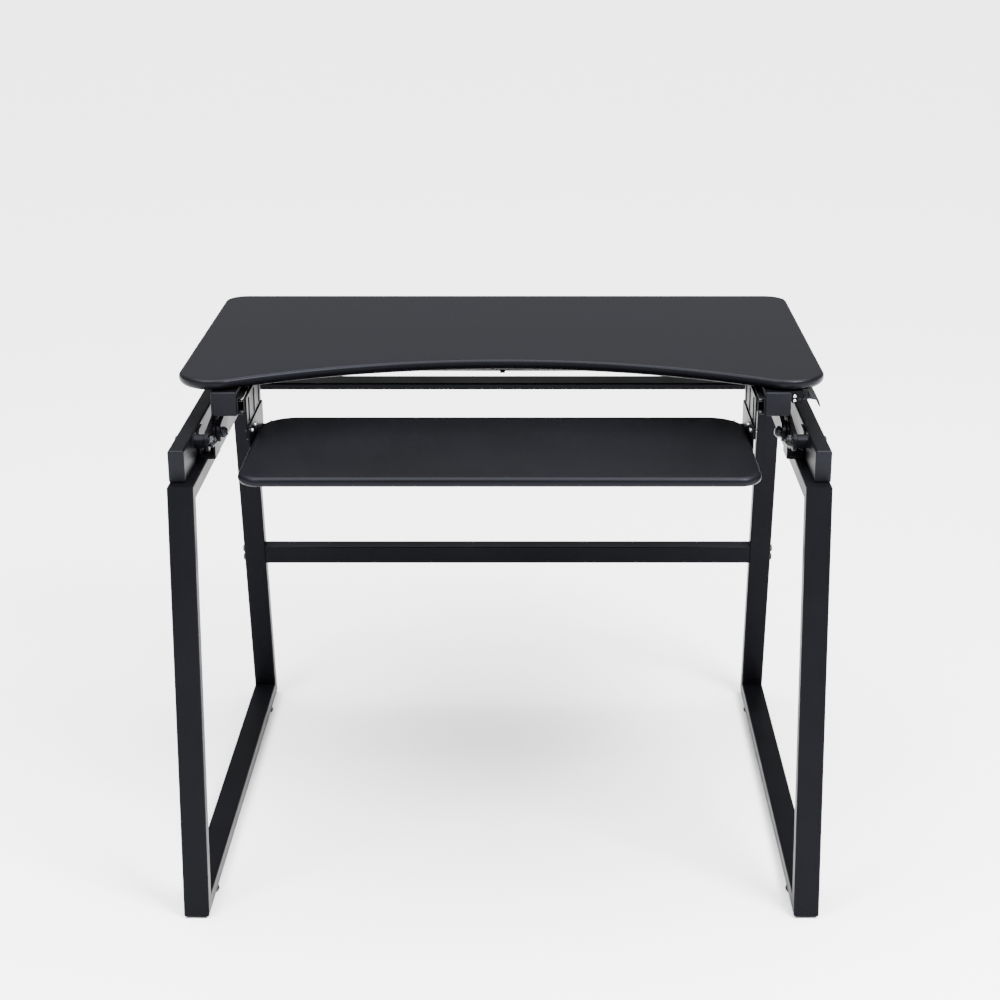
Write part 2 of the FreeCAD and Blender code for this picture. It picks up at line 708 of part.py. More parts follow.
def make_base_bolts():
    bolts, nuts = [], []
    under = head_top - D["tube_deep"]
    inside = head_top + D["rail_wall"]
    for name, side in SIDES:
        for i, y in enumerate(base_bolt_spots()):
            spot = (side * rail_x, y)
            head = hex_bar(f"base_bolt_head_{name}_{i}", "Z", spot, under - 4, under, D["base_nut"])
            shank = round_bar(f"base_bolt_shank_{name}_{i}", "Z", spot, under - 2, inside + 9, D["base_bolt"])
            bolts.append(fuse(f"base_bolt_{name}_{i}", head, shank))
            body = hex_bar(f"base_nut_body_{name}_{i}", "Z", spot, inside, inside + 5, D["base_nut"])
            hole = round_bar(f"base_nut_hole_{name}_{i}", "Z", spot, inside - 1, inside + 6,
                             D["base_bolt"] + 2 * D["seat_gap"])
            nuts.append(cut(f"base_nut_{name}_{i}", body, hole))
    group("base_bolts", bolts + nuts)


def make_arm_bracket(name, side):
    """Bent sheet that carries a rear arm's lower pivot inboard of the front arm."""
    sheet_thick = D["ear_thick"]
    out, far = side * rail_in, side * (channel_out - sheet_thick)
    web_top = head_top + sheet_thick
    ear_top = lower_z + D["arm_deep"] / 2
    corners = [(out, head_top), (far, head_top), (far, ear_top), (far + side * sheet_thick, ear_top),
               (far + side * sheet_thick, web_top), (out - side * sheet_thick, web_top),
               (out - side * sheet_thick, rail_top - 4), (out, rail_top - 4)]
    body = plate(f"arm_bracket_{name}", "Y", corners, D["bracket_long"])
    round_edges(body, 10, lambda edge: along("X")(edge) and edge.CenterOfMass.z > (web_top + 5).value)
    drill(body, "X", [(0, lower_z, stud_hole)], far + side * sheet_thick / 2, 2 * sheet_thick)
    holes = [(y - rear_y, z, D["bracket_screw"] + 2 * D["hole_gap"]) for y, z in screw_spots_on_rail()]
    drill(body, "X", holes, out - side * sheet_thick / 2, 2 * sheet_thick)
    return place(body, y=rear_y)


def make_bracket_screws():
    screws = []
    for name, side in SIDES:
        face = side * (rail_in - D["ear_thick"])
        for i, spot in enumerate(screw_spots_on_rail()):
            label = f"bracket_screw_{name}_{i}"
            head = round_bar(label + "_head", "X", spot, *span(face, face - side * 2.5), 9)
            ends = span(face - side, side * (rail_in + 8))
            shank = round_bar(label + "_shank", "X", spot, *ends, D["bracket_screw"])
            screws.append(fuse(label, head, shank))
    return group("bracket_screws", screws)


def make_lower_pivots():
    bosses, bolts, studs, nuts = [], [], [], []
    outside = D["stand_wide"] / 2
    for name, side in SIDES:
        ends = span(side * rail_in, side * (rail_in - D["boss_long"]))
        bosses.append(ring(f"pivot_boss_{name}", "X", (front_y, lower_z), *ends, D["boss_wide"], bolt_hole))
        nut_face = front_arm_in - D["side_gap"]
        tip = side * (nut_face - D["nut_thick"] - 2)
        head = round_bar(f"front_bolt_head_{name}", "X", (front_y, lower_z),
                         *span(side * outside, side * (outside + 4)), 18)
        shank = round_bar(f"front_bolt_shank_{name}", "X", (front_y, lower_z),
                          *span(side * (outside + 1), tip), D["pin_wide"])
        bolts.append(fuse(f"front_pivot_bolt_{name}", head, shank))
        nuts.append(nut(f"front_nut_{name}", side * nut_face, front_y, lower_z, side))
        nut_face = rear_arm_in - D["side_gap"]
        tip = side * (nut_face - D["nut_thick"] - 2)
        ends = span(side * channel_out, tip)
        studs.append(round_bar(f"rear_pivot_stud_{name}", "X", (rear_y, lower_z), *ends, D["pin_wide"]))
        nuts.append(nut(f"rear_nut_{name}", side * nut_face, rear_y, lower_z, side))
    group("pivot_bosses", bosses)
    group("front_pivot_bolts", bolts)
    group("rear_pivot_studs", studs)
    group("lower_pivot_nuts", nuts)


# ---------------------------------------------------------------- swing arms

def make_arm(label, x, y, upper_hole):
    """Flat bar with rounded ends, laid along the lowered arm's direction from its lower pivot."""
    body = new_body(label)
    drawing = new_sketch(body, "X")
    draw_slot(drawing, 0, D["arm_long"], 0, D["arm_deep"])
    draw_circle(drawing, 0, 0, D["bush_wide"])
    draw_circle(drawing, D["arm_long"], 0, upper_hole)
    pad(body, drawing, D["arm_thick"])
    outer = D["arm_deep"].value / 2
    holes = (D["bush_wide"].value / 2 + 0.2, upper_hole.value / 2 + 0.2)

    def rim(edge):
        if along("X")(edge):
            return False
        if edge.Curve.TypeId == "Part::GeomCircle":
            return abs(edge.Curve.Radius - outer) < 0.01 and edge.Curve.Radius > max(holes)
        return True
    round_edges(body, 1.2, rim)
    return place(body, x, y, lower_z, angle=D["arm_rest"])


def make_arms():
    bush_bore = D["pin_wide"] + 2 * D["running_gap"]
    bush_out = D["bush_wide"] - 2 * D["seat_gap"]
    shaft_hole = D["shaft_wide"] + 2 * D["seat_gap"]
    front_bushes, rear_bushes = [], []
    for name, side in SIDES:
        make_arm(f"front_arm_{name}", side * (front_arm_in + front_arm_out) / 2, front_y, D["bush_wide"])
        make_arm(f"rear_arm_{name}", side * (rear_arm_in + rear_arm_out) / 2, rear_y, shaft_hole)
        ends = span(side * front_arm_in, side * front_arm_out)
        for end, y, z in (("lower", front_y, lower_z), ("upper", stud_y, upper_z)):
            front_bushes.append(ring(f"front_bush_{name}_{end}", "X", (y, z), *ends, bush_out, bush_bore))
        ends = span(side * rear_arm_in, side * rear_arm_out)
        rear_bushes.append(ring(f"rear_bush_{name}", "X", (rear_y, lower_z), *ends, bush_out, bush_bore))
    group("front_arm_bushes", front_bushes)
    group("rear_arm_bushes", rear_bushes)


lever_start = -(90 + D["lift_angle"] / 2)
lever_pin_y = shaft_y - D["lever_reach"] * sine(D["lift_angle"] / 2)
lever_pin_z = upper_z - D["lever_reach"] * cosine(D["lift_angle"] / 2)


def make_torsion_shaft():
    half = rear_arm_out - D["seat_gap"]
    round_bar("torsion_shaft", "X", (shaft_y, upper_z), -half, half, D["shaft_wide"])
    pins, plates = [], []
    inner = D["eye_thick"] / 2 + D["side_gap"]
    for name, side in SIDES:
        for place_name, way in (("in", -1), ("out", 1)):
            body = new_body(f"spring_lever_{name}_{place_name}")
            drawing = new_sketch(body, "X")
            draw_slot(drawing, 0, D["lever_reach"], 0, D["lever_wide"])
            draw_circle(drawing, 0, 0, D["shaft_wide"] + 2 * D["seat_gap"])
            draw_circle(drawing, D["lever_reach"], 0, D["spring_pin"] + 2 * D["seat_gap"])
            pad(body, drawing, D["lever_plate"])
            x = side * spring_x + way * (inner + D["lever_plate"] / 2)
            plates.append(place(body, x, shaft_y, upper_z, angle=lever_start))
        half_pin = inner + D["lever_plate"] + 1.5
        ends = (side * spring_x - half_pin, side * spring_x + half_pin)
        pins.append(round_bar(f"lever_pin_{name}", "X", (lever_pin_y, lever_pin_z), *ends, D["spring_pin"]))
    group("spring_levers", plates)
    group("spring_lever_pins", pins)


# ---------------------------------------------------------------- upper frame

def scoop_radius():
    """Radius of the desktop's concave front edge."""
    chord = D["desk_wide"] / 2 - D["lobe_flat"]
    return (chord * chord + D["desk_scoop"] * D["desk_scoop"]) / (2 * D["desk_scoop"])


def front_edge_at(x):
    """Y of the desktop's front edge at x: on the scoop, or straight in a lobe."""
    radius = scoop_radius()
    scooped = desk_front + D["desk_scoop"] - radius + root(radius * radius - x * x)
    return larger(scooped, desk_front)


def desk_screw_spots(side):
    """The front one keeps its distance from the desktop's edge, the others from the channel's end."""
    middle = side * (channel_in + channel_out) / 2
    rows = [front_edge_at(middle) + D["desk_screw_front"]]
    rows += [channel_front + D[name] for name in ("desk_screw_second", "desk_screw_third", "desk_screw_rear")]
    return [(middle, y) for y in rows]


def slide_screw_spots():
    inset, long = D["slide_screw_inset"], D["slide_long"]
    return [desk_front + inset, desk_front + long / 2, desk_front + long - inset]


cable_z = desk_low - 6.5
cable_rows = {"left": spring_y - 64, "right": spring_y - 50}


def make_channel(name, side):
    wall = D["channel_wall"]
    out, inside = side * channel_out, side * channel_in
    step = side * wall
    corners = [(inside, channel_low), (inside + step, channel_low), (inside + step, web_low),
               (out - step, web_low), (out - step, channel_low), (out, channel_low),
               (out, desk_low), (inside, desk_low)]
    body = plate(f"upper_channel_{name}", "Y", corners, D["channel_long"])
    round_edges(body, 1.5, lambda edge: along("Y")(edge) and edge.CenterOfMass.z > (desk_low - 1).value)
    middle = channel_front + D["channel_long"] / 2
    drill(body, "X", [(stud_y - middle, upper_z, stud_hole)], out - step / 2, 2 * wall)
    holes = [(shaft_y - middle, upper_z, D["bearing_wide"] + 2 * D["seat_gap"])]
    holes += [(y - middle, slide_mid, D["small_screw"] + 2 * D["seat_gap"]) for y in slide_screw_spots()]
    drill(body, "X", holes, inside + step / 2, 2 * wall)
    if name == "right":
        holes = [(y - middle, cable_z, D["cable_wide"] + 2) for y in cable_rows.values()]
        drill(body, "X", holes, inside + step / 2, 2 * wall)
        slot = new_sketch(body, "X", out - step / 2)
        half = D["cable_wide"] / 2 + 1
        draw_outline(slot, rect(cable_rows["left"] - 50 - middle, cable_rows["right"] - 18 - middle,
                                cable_z - half, cable_z + half))
        pocket(body, slot, 2 * wall)
    holes = [(x, y - middle, D["wood_screw"] + 2 * D["hole_gap"]) for x, y in desk_screw_spots(side)]
    drill(body, "Z", holes, web_low + wall / 2, 2 * wall)
    return place(body, y=middle)


def make_channel_caps():
    caps = []
    middle_z = (channel_low + desk_low) / 2
    for name, side in SIDES:
        x = side * (channel_in + channel_out) / 2
        for end, face, way in (("front", channel_front, 1), ("rear", channel_rear, -1)):
            label = f"channel_cap_{name}_{end}"
            caps.append(end_cap(label, x, middle_z, D["channel_wide"], D["channel_tall"],
                                D["channel_wall"], face, way))
    return group("channel_end_caps", caps)


def make_upper_beams():
    """Two tubes across, between the channels. The rear one ends level with them."""
    front = channel_front + D["beam_front_back"]
    rear = channel_rear - D["beam_deep"]
    beams = []
    for name, y in (("front", front), ("rear", rear)):
        beam = rect_tube(f"upper_beam_{name}", "X", D["beam_deep"], D["beam_tall"], 2 * channel_in,
                         D["rail_wall"])
        beams.append(place(beam, 0, y + D["beam_deep"] / 2, desk_low - D["beam_tall"] / 2))
    group("upper_cross_tubes", beams)


def make_upper_pivots():
    studs, nuts, bearings = [], [], []
    for name, side in SIDES:
        nut_face = side * (front_arm_out + D["side_gap"] + D["nut_thick"])
        start = side * (channel_out - D["channel_wall"])
        studs.append(round_bar(f"upper_stud_{name}", "X", (stud_y, upper_z),
                               *span(start, nut_face + side * 2), D["pin_wide"]))
        nuts.append(nut(f"upper_nut_{name}", nut_face, stud_y, upper_z, side))
        label = f"shaft_bearing_{name}"
        barrel_ends = span(side * (channel_in - 1), side * (channel_in + 4))
        barrel = round_bar(label + "_barrel", "X", (shaft_y, upper_z), *barrel_ends, D["bearing_wide"])
        flange_ends = span(side * (channel_in - 3), side * channel_in)
        flange = round_bar(label + "_flange", "X", (shaft_y, upper_z), *flange_ends, D["bearing_wide"] + 10)
        hole_ends = span(side * (channel_in - 5), side * (channel_in + 6))
        hole_width = D["shaft_wide"] + 2 * D["running_gap"]
        hole = round_bar(label + "_hole", "X", (shaft_y, upper_z), *hole_ends, hole_width)
        bearings.append(cut(label, fuse(label + "_solid", barrel, flange), hole))
    group("upper_pivot_studs", studs + nuts)
    group("shaft_bearings", bearings)


def mount_screw_spots():
    """Screws of the spring mounts and the lever bracket, up into the desktop."""
    springs = [(side * spring_x, spring_y + way * 10) for _, side in SIDES for way in (-1, 1)]
    lever = [(lever_mount_in + 6, lever_mount_front + back) for back in (30, 52)]
    return springs + lever


def make_desktop():
    half = D["desk_wide"] / 2
    chord = half - D["lobe_flat"]
    radius = scoop_radius()
    body = new_body("desktop")
    drawing = new_sketch(body, "Z", desk_low + D["desk_thick"] / 2)
    corners = [(chord, desk_front), (half, desk_front), (half, desk_rear),
               (-half, desk_rear), (-half, desk_front), (-chord, desk_front)]
    points = [Vector(a.value, b.value, 0) for a, b in corners]
    for i in range(len(points) - 1):
        drawing.addGeometry(Part.LineSegment(points[i], points[i + 1]))
    middle = Vector(0, (desk_front + D["desk_scoop"]).value, 0)
    arc = drawing.addGeometry(Part.Arc(points[-1], middle, points[0]))
    for i in range(len(points) - 2):
        drawing.addConstraint(Sketcher.Constraint("Coincident", i, 2, i + 1, 1))
    for i in range(len(points) - 1):
        hold_point(drawing, i, 1, corners[i])
    hold_point(drawing, len(points) - 2, 2, corners[-1])
    ends = {1: drawing.getPoint(arc, 1), 2: drawing.getPoint(arc, 2)}
    right_end = 1 if ends[1].x > 0 else 2
    drawing.addConstraint(Sketcher.Constraint("Coincident", arc, right_end, 0, 1))
    drawing.addConstraint(Sketcher.Constraint("Coincident", arc, 3 - right_end, len(points) - 2, 2))
    held = drawing.addConstraint(Sketcher.Constraint("Radius", arc, radius.value))
    drawing.setExpression(f"Constraints[{held}]", radius.formula)
    pad(body, drawing, D["desk_thick"])

    def upright_at(x, y):
        near = Vector(x.value, y.value, 0)

        def chosen(edge):
            middle = edge.CenterOfMass
            flat = Vector(abs(middle.x), middle.y, 0)
            return along("Z")(edge) and (flat - near).Length < 1
        return chosen
    round_edges(body, D["desk_rear_round"], upright_at(half, desk_rear))
    round_edges(body, D["desk_front_round"], upright_at(half, desk_front))
    round_edges(body, D["lobe_blend"], upright_at(chord, desk_front))
    soften_rim(body)
    pilot = D["wood_screw"] + 2 * D["seat_gap"]
    holes = [(x, y, pilot) for _, side in SIDES for x, y in desk_screw_spots(side)]
    holes += [(x, y, pilot) for x, y in mount_screw_spots()]
    drill(body, "Z", holes, desk_low, 2 * 13)
    return body


def soften_rim(body, radius=None):
    """Bullnose: round every edge of the top and bottom faces."""
    box = body.Tip.Shape.BoundBox
    levels = (box.ZMin, box.ZMax)

    def rim(edge):
        bounds = edge.BoundBox
        flat = bounds.ZLength < 0.01
        return flat and min(abs(bounds.ZMin - level) for level in levels) < 0.01
    round_edges(body, radius or D["desk_edge_round"], rim)


def make_desk_screws():
    """Wood screws up into the desktop: channels, spring mounts and lever bracket."""
    bite = 12
    width = D["wood_screw"]
    spots = [spot for _, side in SIDES for spot in desk_screw_spots(side)]
    screws = wood_screws("channel_screw", spots, web_low, 9, 3, width, D["channel_wall"] + bite)
    spots = mount_screw_spots()
    screws += wood_screws("mount_screw", spots[:4], desk_low - D["mount_sheet"], 7, 2, width,
                          bite + D["mount_sheet"])
    screws += wood_screws("lever_mount_screw", spots[4:], desk_low - D["lever_sheet"], 8, 2, width,
                          bite + D["lever_sheet"])
    group("desktop_screws", screws)


# ---------------------------------------------------------------- keyboard tray

def tray_screw_spots(side):
    x = side * (bracket_in - D["flange_wide"] / 2 + D["hanger_sheet"])
    return [(x, hanger_mid + shift) for shift in (-60, 0, 60)]


def hanger_screw_spots():
    return [(hanger_front + back, tray_high + 12) for back in (26, 58)]


def make_tray():
    body = new_body("keyboard_tray")
    drawing = new_sketch(body, "Z", tray_high - D["tray_thick"] / 2)
    draw_outline(drawing, rect(-tray_half, tray_half, tray_front, tray_rear))
    pad(body, drawing, D["tray_thick"])
    middle = ((tray_front + tray_rear) / 2).value
    round_edges(body, D["tray_front_round"], lambda edge: along("Z")(edge) and edge.CenterOfMass.y < middle)
    rear_limit = tray_rear.value - 1
    round_edges(body, D["tray_rear_round"],
                lambda edge: along("Z")(edge) and edge.CenterOfMass.y > rear_limit)
    soften_rim(body, D["tray_edge_round"])
    pilot = D["small_screw"] + 2 * D["seat_gap"]
    holes = [(x, y, pilot) for _, side in SIDES for x, y in tray_screw_spots(side)]
    drill(body, "Z", holes, tray_low, 2 * 11)
    return body


def make_hanger(name, side):
    thick = D["hanger_sheet"]
    screw_hole = D["small_screw"] + 2 * D["hole_gap"]
    screws = [(y - hanger_mid, z, screw_hole) for y, z in hanger_screw_spots()]
    half = D["hanger_long"] / 2
    low, high = tray_high + 3, slide_high - 2
    hanger = plate(f"slide_hanger_{name}", "X", rect(-half, half, low, high), thick, screws)
    place(hanger, side * (hanger_in + thick / 2), hanger_mid, 0)
    round_edges(hanger, 6, along("X"))
    ribs = new_sketch(hanger, "X", -side * (thick / 2 + 0.75))
    rib_low, rib_high = tray_high + 28, high - 4
    for shift in (-54, 0, 54):
        draw_outline(ribs, rect(shift - 3.5, shift + 3.5, rib_low, rib_high))
    pad(hanger, ribs, 1.5)
    tall = tray_high + 25
    inner, outer = side * bracket_in, side * hanger_in
    foot = side * (bracket_in - D["flange_wide"])
    under = tray_low - thick
    corners = [(outer, under), (outer, tall), (inner, tall), (inner, tray_low),
               (foot, tray_low), (foot, under)]
    bracket = plate(f"tray_bracket_{name}", "Y", corners, D["hanger_long"])
    limit = (tray_low - thick / 2).value
    round_edges(bracket, 2, lambda edge: along("Y")(edge) and edge.CenterOfMass.z < limit
                and abs(edge.CenterOfMass.x) > hanger_in.value - 1)
    drill(bracket, "X", screws, (inner + outer) / 2, 2 * thick)
    holes = [(x, y - hanger_mid, screw_hole) for x, y in tray_screw_spots(side)]
    drill(bracket, "Z", holes, tray_low - thick / 2, 2 * thick)
    place(bracket, y=hanger_mid)


def make_hanger_screws():
    screws, nuts = [], []
    for name, side in SIDES:
        face, back = side * bracket_in, side * hanger_out
        for i, spot in enumerate(hanger_screw_spots()):
            label = f"hanger_screw_{name}_{i}"
            head = round_bar(label + "_head", "X", spot, *span(face, face - side * 2.8), 8)
            ends = span(face - side, back + side * 4)
            shank = round_bar(label + "_shank", "X", spot, *ends, D["small_screw"])
            screws.append(fuse(label, head, shank))
            ends = span(back, back + side * 3)
            body = hex_bar(f"hanger_nut_body_{name}_{i}", "X", spot, *ends, 7)
            hole = round_bar(f"hanger_nut_hole_{name}_{i}", "X", spot, ends[0] - 1, ends[1] + 1,
                             D["small_screw"] + 2 * D["seat_gap"])
            nuts.append(cut(f"hanger_nut_{name}_{i}", body, hole))
    group("hanger_screws", screws + nuts)


def make_tray_screws():
    spots = [spot for _, side in SIDES for spot in tray_screw_spots(side)]
    sheet_thick = D["hanger_sheet"]
    group("tray_screws", wood_screws("tray_screw", spots, tray_low - sheet_thick, 8, 2.4,
                                     D["small_screw"], sheet_thick + 10))


def make_slide(name, side):
    """Outer member on the channel, inner member on the hanger, ball cages between."""
    thick = D["slide_sheet"]
    race = D["ball_wide"] + 0.5
    back, mouth = side * channel_in, side * (hanger_out + 2)
    wall = back - side * thick
    corners = [(back, slide_low), (mouth, slide_low), (mouth, slide_low + thick),
               (wall, slide_low + thick), (wall, slide_high - thick), (mouth, slide_high - thick),
               (mouth, slide_high), (back, slide_high)]
    outer = plate(f"slide_outer_{name}", "Y", corners, D["slide_long"])
    middle = desk_front + D["slide_long"] / 2
    holes = [(y - middle, slide_mid, D["small_screw"] + 2 * D["seat_gap"]) for y in slide_screw_spots()]
    drill(outer, "X", holes, back - side * thick / 2, 2 * thick)
    place(outer, y=middle)
    low, high = slide_low + thick + race, slide_high - thick - race
    face, lip = side * hanger_out, side * (channel_in - thick - 2)
    step = face + side * thick
    corners = [(face, low), (lip, low), (lip, low + thick), (step, low + thick),
               (step, high - thick), (lip, high - thick), (lip, high), (face, high)]
    inner = plate(f"slide_inner_{name}", "Y", corners, D["slide_inner_long"])
    place(inner, y=desk_front + D["slide_inner_long"] / 2)
    ball_x = side * (channel_in - thick - 5)
    strips = []
    for level, z in (("low", slide_low + thick + race / 2), ("high", slide_high - thick - race / 2)):
        start = desk_front + 3
        strip_x = (ball_x - 2.2, ball_x + 2.2)
        strip_y, strip_z = (start, start + D["cage_long"]), (z - 0.5, z + 0.5)
        pieces = [block(f"cage_{name}_{level}_strip", strip_x, strip_y, strip_z)]
        for i in range(6):
            ball = doc.addObject("Part::Sphere", f"cage_{name}_{level}_ball{i}")
            bind(ball, "Radius", D["ball_wide"] / 2)
            pieces.append(place(ball, ball_x, start + 5 + i * (D["cage_long"] - 10) / 5, z))
        strips.append(fuse(f"cage_{name}_{level}", *pieces))
    group(f"ball_cage_{name}", strips)


def make_slide_screws():
    screws = []
    for name, side in SIDES:
        face = side * (channel_in - D["slide_sheet"])
        for i, y in enumerate(slide_screw_spots()):
            label = f"slide_screw_{name}_{i}"
            head = round_bar(label + "_head", "X", (y, slide_mid), *span(face, face - side * 1.2), 7)
            end = side * (channel_in + D["channel_wall"] + 1.5)
            ends = span(face - side * 0.6, end)
            shank = round_bar(label + "_shank", "X", (y, slide_mid), *ends, D["small_screw"])
            screws.append(fuse(label, head, shank))
    return group("slide_screws", screws)


# ---------------------------------------------------------------- gas springs

# The lever pin swings over an arc that is lever_sag high, and the spring's line runs through its middle.
lever_sag = D["lever_reach"] * (1 - cosine(D["lift_angle"] / 2))
eye_play = lever_sag / 2
spring_run = lever_pin_y - spring_y
spring_fall = spring_z - lever_pin_z + eye_play
spring_reach = root(spring_run * spring_run + spring_fall * spring_fall)
spring_tilt = -slope_angle(spring_fall, spring_run)


def set_on_spring(obj, side):
    """Move a piece drawn along +Y from the spring's front pin into its place."""
    return place(obj, side * spring_x, spring_y, spring_z, angle=spring_tilt)


def make_gas_spring(name, side):
    tube_end = D["cylinder_start"] + D["cylinder_long"]
    wall, thick = D["cylinder_wall"], D["eye_thick"]
    half_eye = D["eye_wide"] / 2
    bore = D["cylinder_wide"] - 2 * wall
    eye = ring(f"cylinder_eye_{name}", "X", (0, 0), -thick / 2, thick / 2, D["eye_wide"] - 2,
               D["spring_pin"] + 2 * D["running_gap"])
    neck_y = (D["spring_pin"], D["cylinder_start"] + 1)
    neck = block(f"cylinder_neck_{name}", (-thick / 2, thick / 2), neck_y, (-5, 5))
    shell = round_bar(f"cylinder_shell_{name}", "Y", (0, 0), D["cylinder_start"], tube_end,
                      D["cylinder_wide"])
    hollow = round_bar(f"cylinder_bore_{name}", "Y", (0, 0), D["cylinder_start"] + 4, tube_end + 5, bore)
    solid = fuse(f"cylinder_solid_{name}", eye, neck, shell)
    set_on_spring(cut(f"gas_cylinder_{name}", solid, hollow), side)
    gland_out = bore - 2 * D["seat_gap"]
    rod_hole = D["rod_wide"] + 2 * D["running_gap"]
    set_on_spring(ring(f"gas_gland_{name}", "Y", (0, 0), tube_end - 10, tube_end, gland_out, rod_hole), side)
    piston_end = D["cylinder_start"] + 46
    rod_end = spring_reach - half_eye
    rod = round_bar(f"gas_rod_bar_{name}", "Y", (0, 0), piston_end - 10, rod_end, D["rod_wide"])
    piston = round_bar(f"gas_rod_piston_{name}", "Y", (0, 0), piston_end - 10, piston_end,
                       bore - 2 * D["running_gap"])
    set_on_spring(fuse(f"gas_rod_{name}", rod, piston), side)
    make_rod_eye(name, side, half_eye)


def make_rod_eye(name, side, half_eye):
    """Eye with an upright slot: the lever's pin moves in it by the play."""
    body = new_body(f"rod_eye_{name}")
    drawing = new_sketch(body, "X")
    draw_outline(drawing, rect(spring_reach - half_eye, spring_reach + half_eye, -half_eye - 2, half_eye + 2))
    pad(body, drawing, D["eye_thick"])
    round_edges(body, 6, along("X"))
    half_wide = D["spring_pin"] / 2 + 0.7
    half_tall = D["spring_pin"] / 2 + eye_play + 0.6
    slot = new_sketch(body, "X")
    draw_outline(slot, rect(spring_reach - half_wide, spring_reach + half_wide, -half_tall, half_tall))
    pocket(body, slot, D["eye_thick"] + 2)
    slot_end = half_tall.value + 0.5

    def inside(edge):
        middle = edge.CenterOfMass
        return along("X")(edge) and abs(middle.z) < slot_end and abs(middle.y - spring_reach.value) < 6
    round_edges(body, 4, inside)
    return set_on_spring(body, side)


def make_spring_mounts():
    mounts, pins, stops = [], [], []
    half = D["eye_thick"] / 2 + 2
    thick = D["mount_sheet"]
    low = spring_z - 10
    for name, side in SIDES:
        x = side * spring_x
        outer = half + thick
        corners = [(x - outer, low), (x - half, low), (x - half, desk_low - thick),
                   (x + half, desk_low - thick), (x + half, low), (x + outer, low),
                   (x + outer, desk_low), (x - outer, desk_low)]
        mount = plate(f"spring_mount_{name}", "Y", corners, D["mount_long"])
        drill(mount, "X", [(0, spring_z, D["spring_pin"] + 2 * D["seat_gap"])], x, 2 * outer + 2)
        holes = [(spot_x, y - spring_y, D["wood_screw"] + 2 * D["hole_gap"])
                 for spot_x, y in mount_screw_spots()[:4] if spot_x.value * side > 0]
        drill(mount, "Z", holes, desk_low - thick / 2, 2 * thick)
        mounts.append(place(mount, y=spring_y))
        ends = (x - outer - 1.5, x + outer + 1.5)
        pins.append(round_bar(f"mount_pin_{name}", "X", (spring_y, spring_z), *ends, D["spring_pin"]))
        front = spring_y - D["mount_long"] / 2
        stops.append(block(f"cable_stop_{name}", (x - 5, x + 5), (front - 6, front), (cable_z - 4, desk_low)))
    group("spring_mounts", mounts)
    group("spring_mount_pins", pins)
    return stops


# ---------------------------------------------------------------- release lever

lever_mount_in = channel_out + 1
lever_mount_front = desk_front + 3
lever_mount_rear = lever_mount_front + D["lever_mount_long"]
hinge_x = lever_mount_in + 13
hinge_z = desk_low - 13


def make_lever_bracket():
    """Sheet under the desktop with a turned-down front and rear that hold the hinge pin."""
    thick = D["lever_sheet"]
    right = lever_mount_in + 18
    low = desk_low - D["lever_mount_tall"]
    middle = (lever_mount_front + lever_mount_rear) / 2
    half = D["lever_mount_long"] / 2
    corners = [(-half, low), (thick - half, low), (thick - half, desk_low - thick),
               (half - thick, desk_low - thick), (half - thick, low), (half, low),
               (half, desk_low), (-half, desk_low)]
    body = plate("lever_bracket", "X", corners, right - lever_mount_in)
    round_edges(body, 5, lambda edge: along("Y")(edge) and edge.CenterOfMass.z < (low + 1).value)
    centre_x = (lever_mount_in + right) / 2
    drill(body, "Y", [(hinge_x - centre_x, hinge_z, D["hinge_pin"] + 2 * D["seat_gap"])], 0, 2 * half + 2)
    offsets = [(cable_x - centre_x, cable_z, D["cable_wide"] - 1) for cable_x in cable_starts().values()]
    drill(body, "Y", offsets, half - thick / 2, 2 * thick)
    front_hole = D["lever_screw"] + D["hole_gap"]
    front_holes = [(lever_mount_in + 5 - centre_x, low + up, front_hole) for up in (5, 12)]
    drill(body, "Y", front_holes, thick / 2 - half, 2 * thick)
    wood_hole = D["wood_screw"] + 2 * D["hole_gap"]
    holes = [(x - centre_x, y - middle, wood_hole) for x, y in mount_screw_spots()[4:]]
    drill(body, "Z", holes, desk_low - thick / 2, 2 * thick)
    place(body, centre_x, middle, 0)
    screws = []
    for i, up in enumerate((5, 12)):
        spot = (lever_mount_in + 5, low + up)
        head = round_bar(f"lever_screw_head{i}", "Y", spot, lever_mount_front - 1.6, lever_mount_front, 5.5)
        shank = round_bar(f"lever_screw_shank{i}", "Y", spot, lever_mount_front - 1, lever_mount_front + 6,
                          D["lever_screw"])
        screws.append(fuse(f"lever_screw_{i}", head, shank))
    group("lever_screws", screws)
    ends = (lever_mount_front - 1, lever_mount_rear + 1)
    round_bar("lever_pin", "Y", (hinge_x, hinge_z), *ends, D["hinge_pin"])


